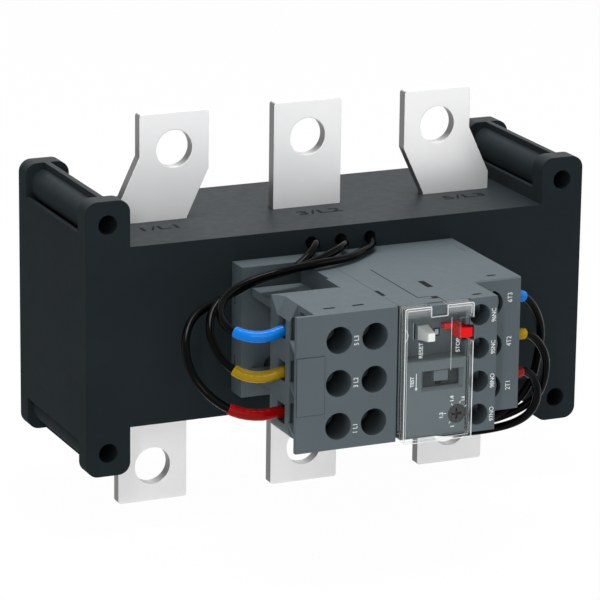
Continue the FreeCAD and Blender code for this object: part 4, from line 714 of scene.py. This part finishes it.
painted_glint_bead("cover_scoop", scoop_line(), SCOOP_R)
painted_glint_bead("cover_rim_left", [
    (LEFT_BEAD, BEAD_START), (LEFT_BEAD, TOP - TOP_CORNER), (LEFT + TOP_CORNER, TOP_BEAD),
    (NIB_X0 - NIB_CORNER, TOP_BEAD), (NIB_LEFT, TOP - NIB_CORNER), (NIB_LEFT, NIB_FOOT),
    (NIB_RIGHT, NIB_FOOT), (NIB_RIGHT, TOP_BEAD), (RIGHT - TOP_CORNER, TOP_BEAD),
    (RIGHT_BEAD, TOP - TOP_CORNER), (RIGHT_BEAD, CUT_Z1 + GAP)], BEAD_R)
painted_glint_bead("cover_rim_top_left", [(INNER_LEFT, INNER_TOP), (NIB_X0 - NIB_CLEAR, INNER_TOP)], INNER_R)
painted_glint_bead("cover_rim_top_right", [
    (NIB_X1 + NIB_CLEAR, INNER_TOP), (INNER_RIGHT, INNER_TOP), (INNER_RIGHT, CUT_Z1 + CUT_CLEAR)], INNER_R)
painted_glint_bead("cover_rim_left_inner", [(INNER_LEFT, FOOT + LIP), (INNER_LEFT, INNER_TOP)], HAIR_R)
painted_glint_bead("cover_rim_bottom", [
    (LEFT_BEAD, BEAD_START), (LEFT + FOOT_CORNER, FOOT_BEAD), (RIGHT - FOOT_CORNER, FOOT_BEAD),
    (RIGHT_BEAD, FOOT + FOOT_CORNER), (RIGHT_BEAD, CUT_Z0 - GAP)], BEAD_R)
painted_glint_bead("cover_rim_bottom_inner", [
    (INNER_LEFT, INNER_FOOT), (INNER_RIGHT - FOOT_CLEAR, INNER_FOOT)], HAIR_R)
painted_glint_bead("cover_sight_line", [(SIGHT_X, SIGHT_FOOT), (SIGHT_X, SIGHT_TOP)], SIGHT_R)

# Painted shade in the slots of the roof of the relay and the terminal block, laid as dark plates over them,
# and the seam as a dark joint line: x from, x to, y from, y to
ROOF_Z, ROOF_MARK_H = 22.6, 0.02
ROOF_MARKS = {
    "cap_left": (-34.7, -30.7, -127.6, -126.4),
    "cap_right": (-24.6, -20.6, -127.6, -126.4),
    "seam_key": (-11.0, -9.6, -120.4, -114.3),
    "vent": (7.1, 9.3, -116.5, -109.0),
    "front_key": (3.1, 5.4, -129.1, -126.6),
    "right_key": (17.2, 19.6, -130.2, -129.0),
    "rear_key": (31.6, 34.0, -111.9, -110.7),
    "seam": (-1.3, -0.95, -126.1, -90.6),
    "seam_turn": (-1.3, 3.1, -126.4, -126.05),
}
for name, (x0, x1, y0, y1) in ROOF_MARKS.items():
    corners = ((x0, y0), (x1, y0), (x1, y1), (x0, y1))
    face, foot = ([(x, y, z) for x, y in corners] for z in (ROOF_Z + ROOF_MARK_H, ROOF_Z))
    mark("roof_slot_" + name, face, foot, DARK)

# Sight window of the flag, and the frame line beside the reset key with a dark stroke of painted shade in the
# gap next to the key, on the floor of the keys' recess
RECESS_Y = -127.0
front_mark("sight_window_frame", [(4.6, 9.2), (6.7, 9.2), (6.7, 12.0), (4.6, 12.0)], RECESS_Y, DARK)
front_mark("sight_window", [(5.0, 9.7), (6.2, 9.7), (6.2, 11.5), (5.0, 11.5)], RECESS_Y - MARK_H, FAINT)
front_line("reset_frame_line", (-2.75, 8.8), (-2.75, 14.3), 0.2, RECESS_Y, FAINT)
front_line("reset_gap_shade", (-2.3, 8.9), (-2.3, 14.2), 0.6, RECESS_Y, DARK)

# Stage, in metres
FLOOR_Z, FLOOR_HALF = -0.068, 3.0
FLOOR_TONE, FLOOR_ROUGH, FLOOR_WHITE = (0.9, 0.9, 0.9, 1), 0.6, 0.98
SKY_TONE, SKY_LIGHT = (0.95, 0.98, 1.0, 1), 0.24
WHITE = (1, 1, 1, 1)


def white_floor():
    """Square floor that takes shadows and is nearly white where it is seen."""
    m, t, b, out = new_material("floor")
    b.inputs["Base Color"].default_value = FLOOR_TONE
    b.inputs["Roughness"].default_value = FLOOR_ROUGH
    glow = node(t, "ShaderNodeEmission", Color=WHITE, Strength=1.0)
    blend(t, calc(t, "MULTIPLY", white_rays(t), FLOOR_WHITE), b.outputs[0], glow.outputs[0], out)
    signs = ((-1, -1), (1, -1), (1, 1), (-1, 1))
    corners = [(x * FLOOR_HALF, y * FLOOR_HALF, FLOOR_Z) for x, y in signs]
    mesh_object("floor", corners, [(0, 1, 2, 3)], m, smooth=False)


def white_world():
    """Surroundings that are white where they are seen and light the object softly."""
    world = bpy.data.worlds.new("studio")
    bpy.context.scene.world = world
    world.use_nodes = True
    t = world.node_tree
    t.nodes.clear()
    out = t.nodes.new("ShaderNodeOutputWorld")
    light = node(t, "ShaderNodeBackground", Color=SKY_TONE, Strength=SKY_LIGHT)
    seen = node(t, "ShaderNodeBackground", Color=WHITE, Strength=1.0)
    blend(t, white_rays(t), light.outputs[0], seen.outputs[0], out)


# Lamps: place, width and height in metres, power in watts
LAMP_TARGET = (0, -0.06, 0)
LAMPS = {
    "top_soft": ((0.0, -0.10, 0.95), (0.42, 0.3), 7.8),
    "front_soft": ((-0.35, -1.1, 0.35), (0.7, 0.6), 1.6),
    "right_soft": ((0.9, -0.6, 0.3), (0.5, 0.6), 1.5),
    "thin_strip": ((-0.55, -1.0, 0.55), (0.03, 0.5), 3.2),
}


def lamp(name, place, size, power):
    """Rectangular lamp that looks at LAMP_TARGET."""
    d = bpy.data.lights.new(name, "AREA")
    d.shape = "RECTANGLE"
    d.size, d.size_y = size
    d.energy = power
    o = bpy.data.objects.new(name, d)
    o.location = place
    o.rotation_euler = (Vector(LAMP_TARGET) - Vector(place)).to_track_quat("-Z", "Y").to_euler()
    bpy.context.collection.objects.link(o)


# Camera, solved from the photograph: angles in degrees, eye in metres, film in millimetres, and the focal
# length and image centre in pixels of the photograph
CAMERA_TURN, CAMERA_TILT, CAMERA_ROLL = -24.112, 16.051, 0.7116
CAMERA_EYE = (-0.50106, -1.14806, 0.34865)
FILM_W = 36.0
PHOTO_PX, FOCAL_PX, CENTRE_PX = 600.0, 3680.87, (296.57, 299.19)


def photo_camera():
    """Camera at CAMERA_EYE: turned round Z, tilted down, rolled, and shifted by its image centre's offset."""
    turn, tilt, roll = (math.radians(v) for v in (CAMERA_TURN, CAMERA_TILT, CAMERA_ROLL))
    forward = -Vector((math.sin(turn) * math.cos(tilt), -math.cos(turn) * math.cos(tilt), math.sin(tilt)))
    level = forward.cross(Vector((0, 0, 1))).normalized()
    upright = level.cross(forward)
    right = math.cos(roll) * level + math.sin(roll) * upright
    up = -math.sin(roll) * level + math.cos(roll) * upright
    cam = bpy.data.cameras.new("camera")
    cam.sensor_width = FILM_W
    cam.lens = FILM_W * FOCAL_PX / PHOTO_PX
    cam.shift_x = (PHOTO_PX / 2 - CENTRE_PX[0]) / PHOTO_PX
    cam.shift_y = (CENTRE_PX[1] - PHOTO_PX / 2) / PHOTO_PX
    cam.clip_start, cam.clip_end = 0.05, 20
    o = bpy.data.objects.new("camera", cam)
    o.matrix_world = Matrix((
        (right.x, up.x, -forward.x, CAMERA_EYE[0]),
        (right.y, up.y, -forward.y, CAMERA_EYE[1]),
        (right.z, up.z, -forward.z, CAMERA_EYE[2]),
        (0, 0, 0, 1)))
    bpy.context.collection.objects.link(o)
    bpy.context.scene.camera = o


white_floor()
white_world()
for name, (place, size, power) in LAMPS.items():
    lamp(name, place, size, power)
photo_camera()
bpy.context.scene.view_settings.view_transform = "Standard"

bpy.context.view_layer.update()
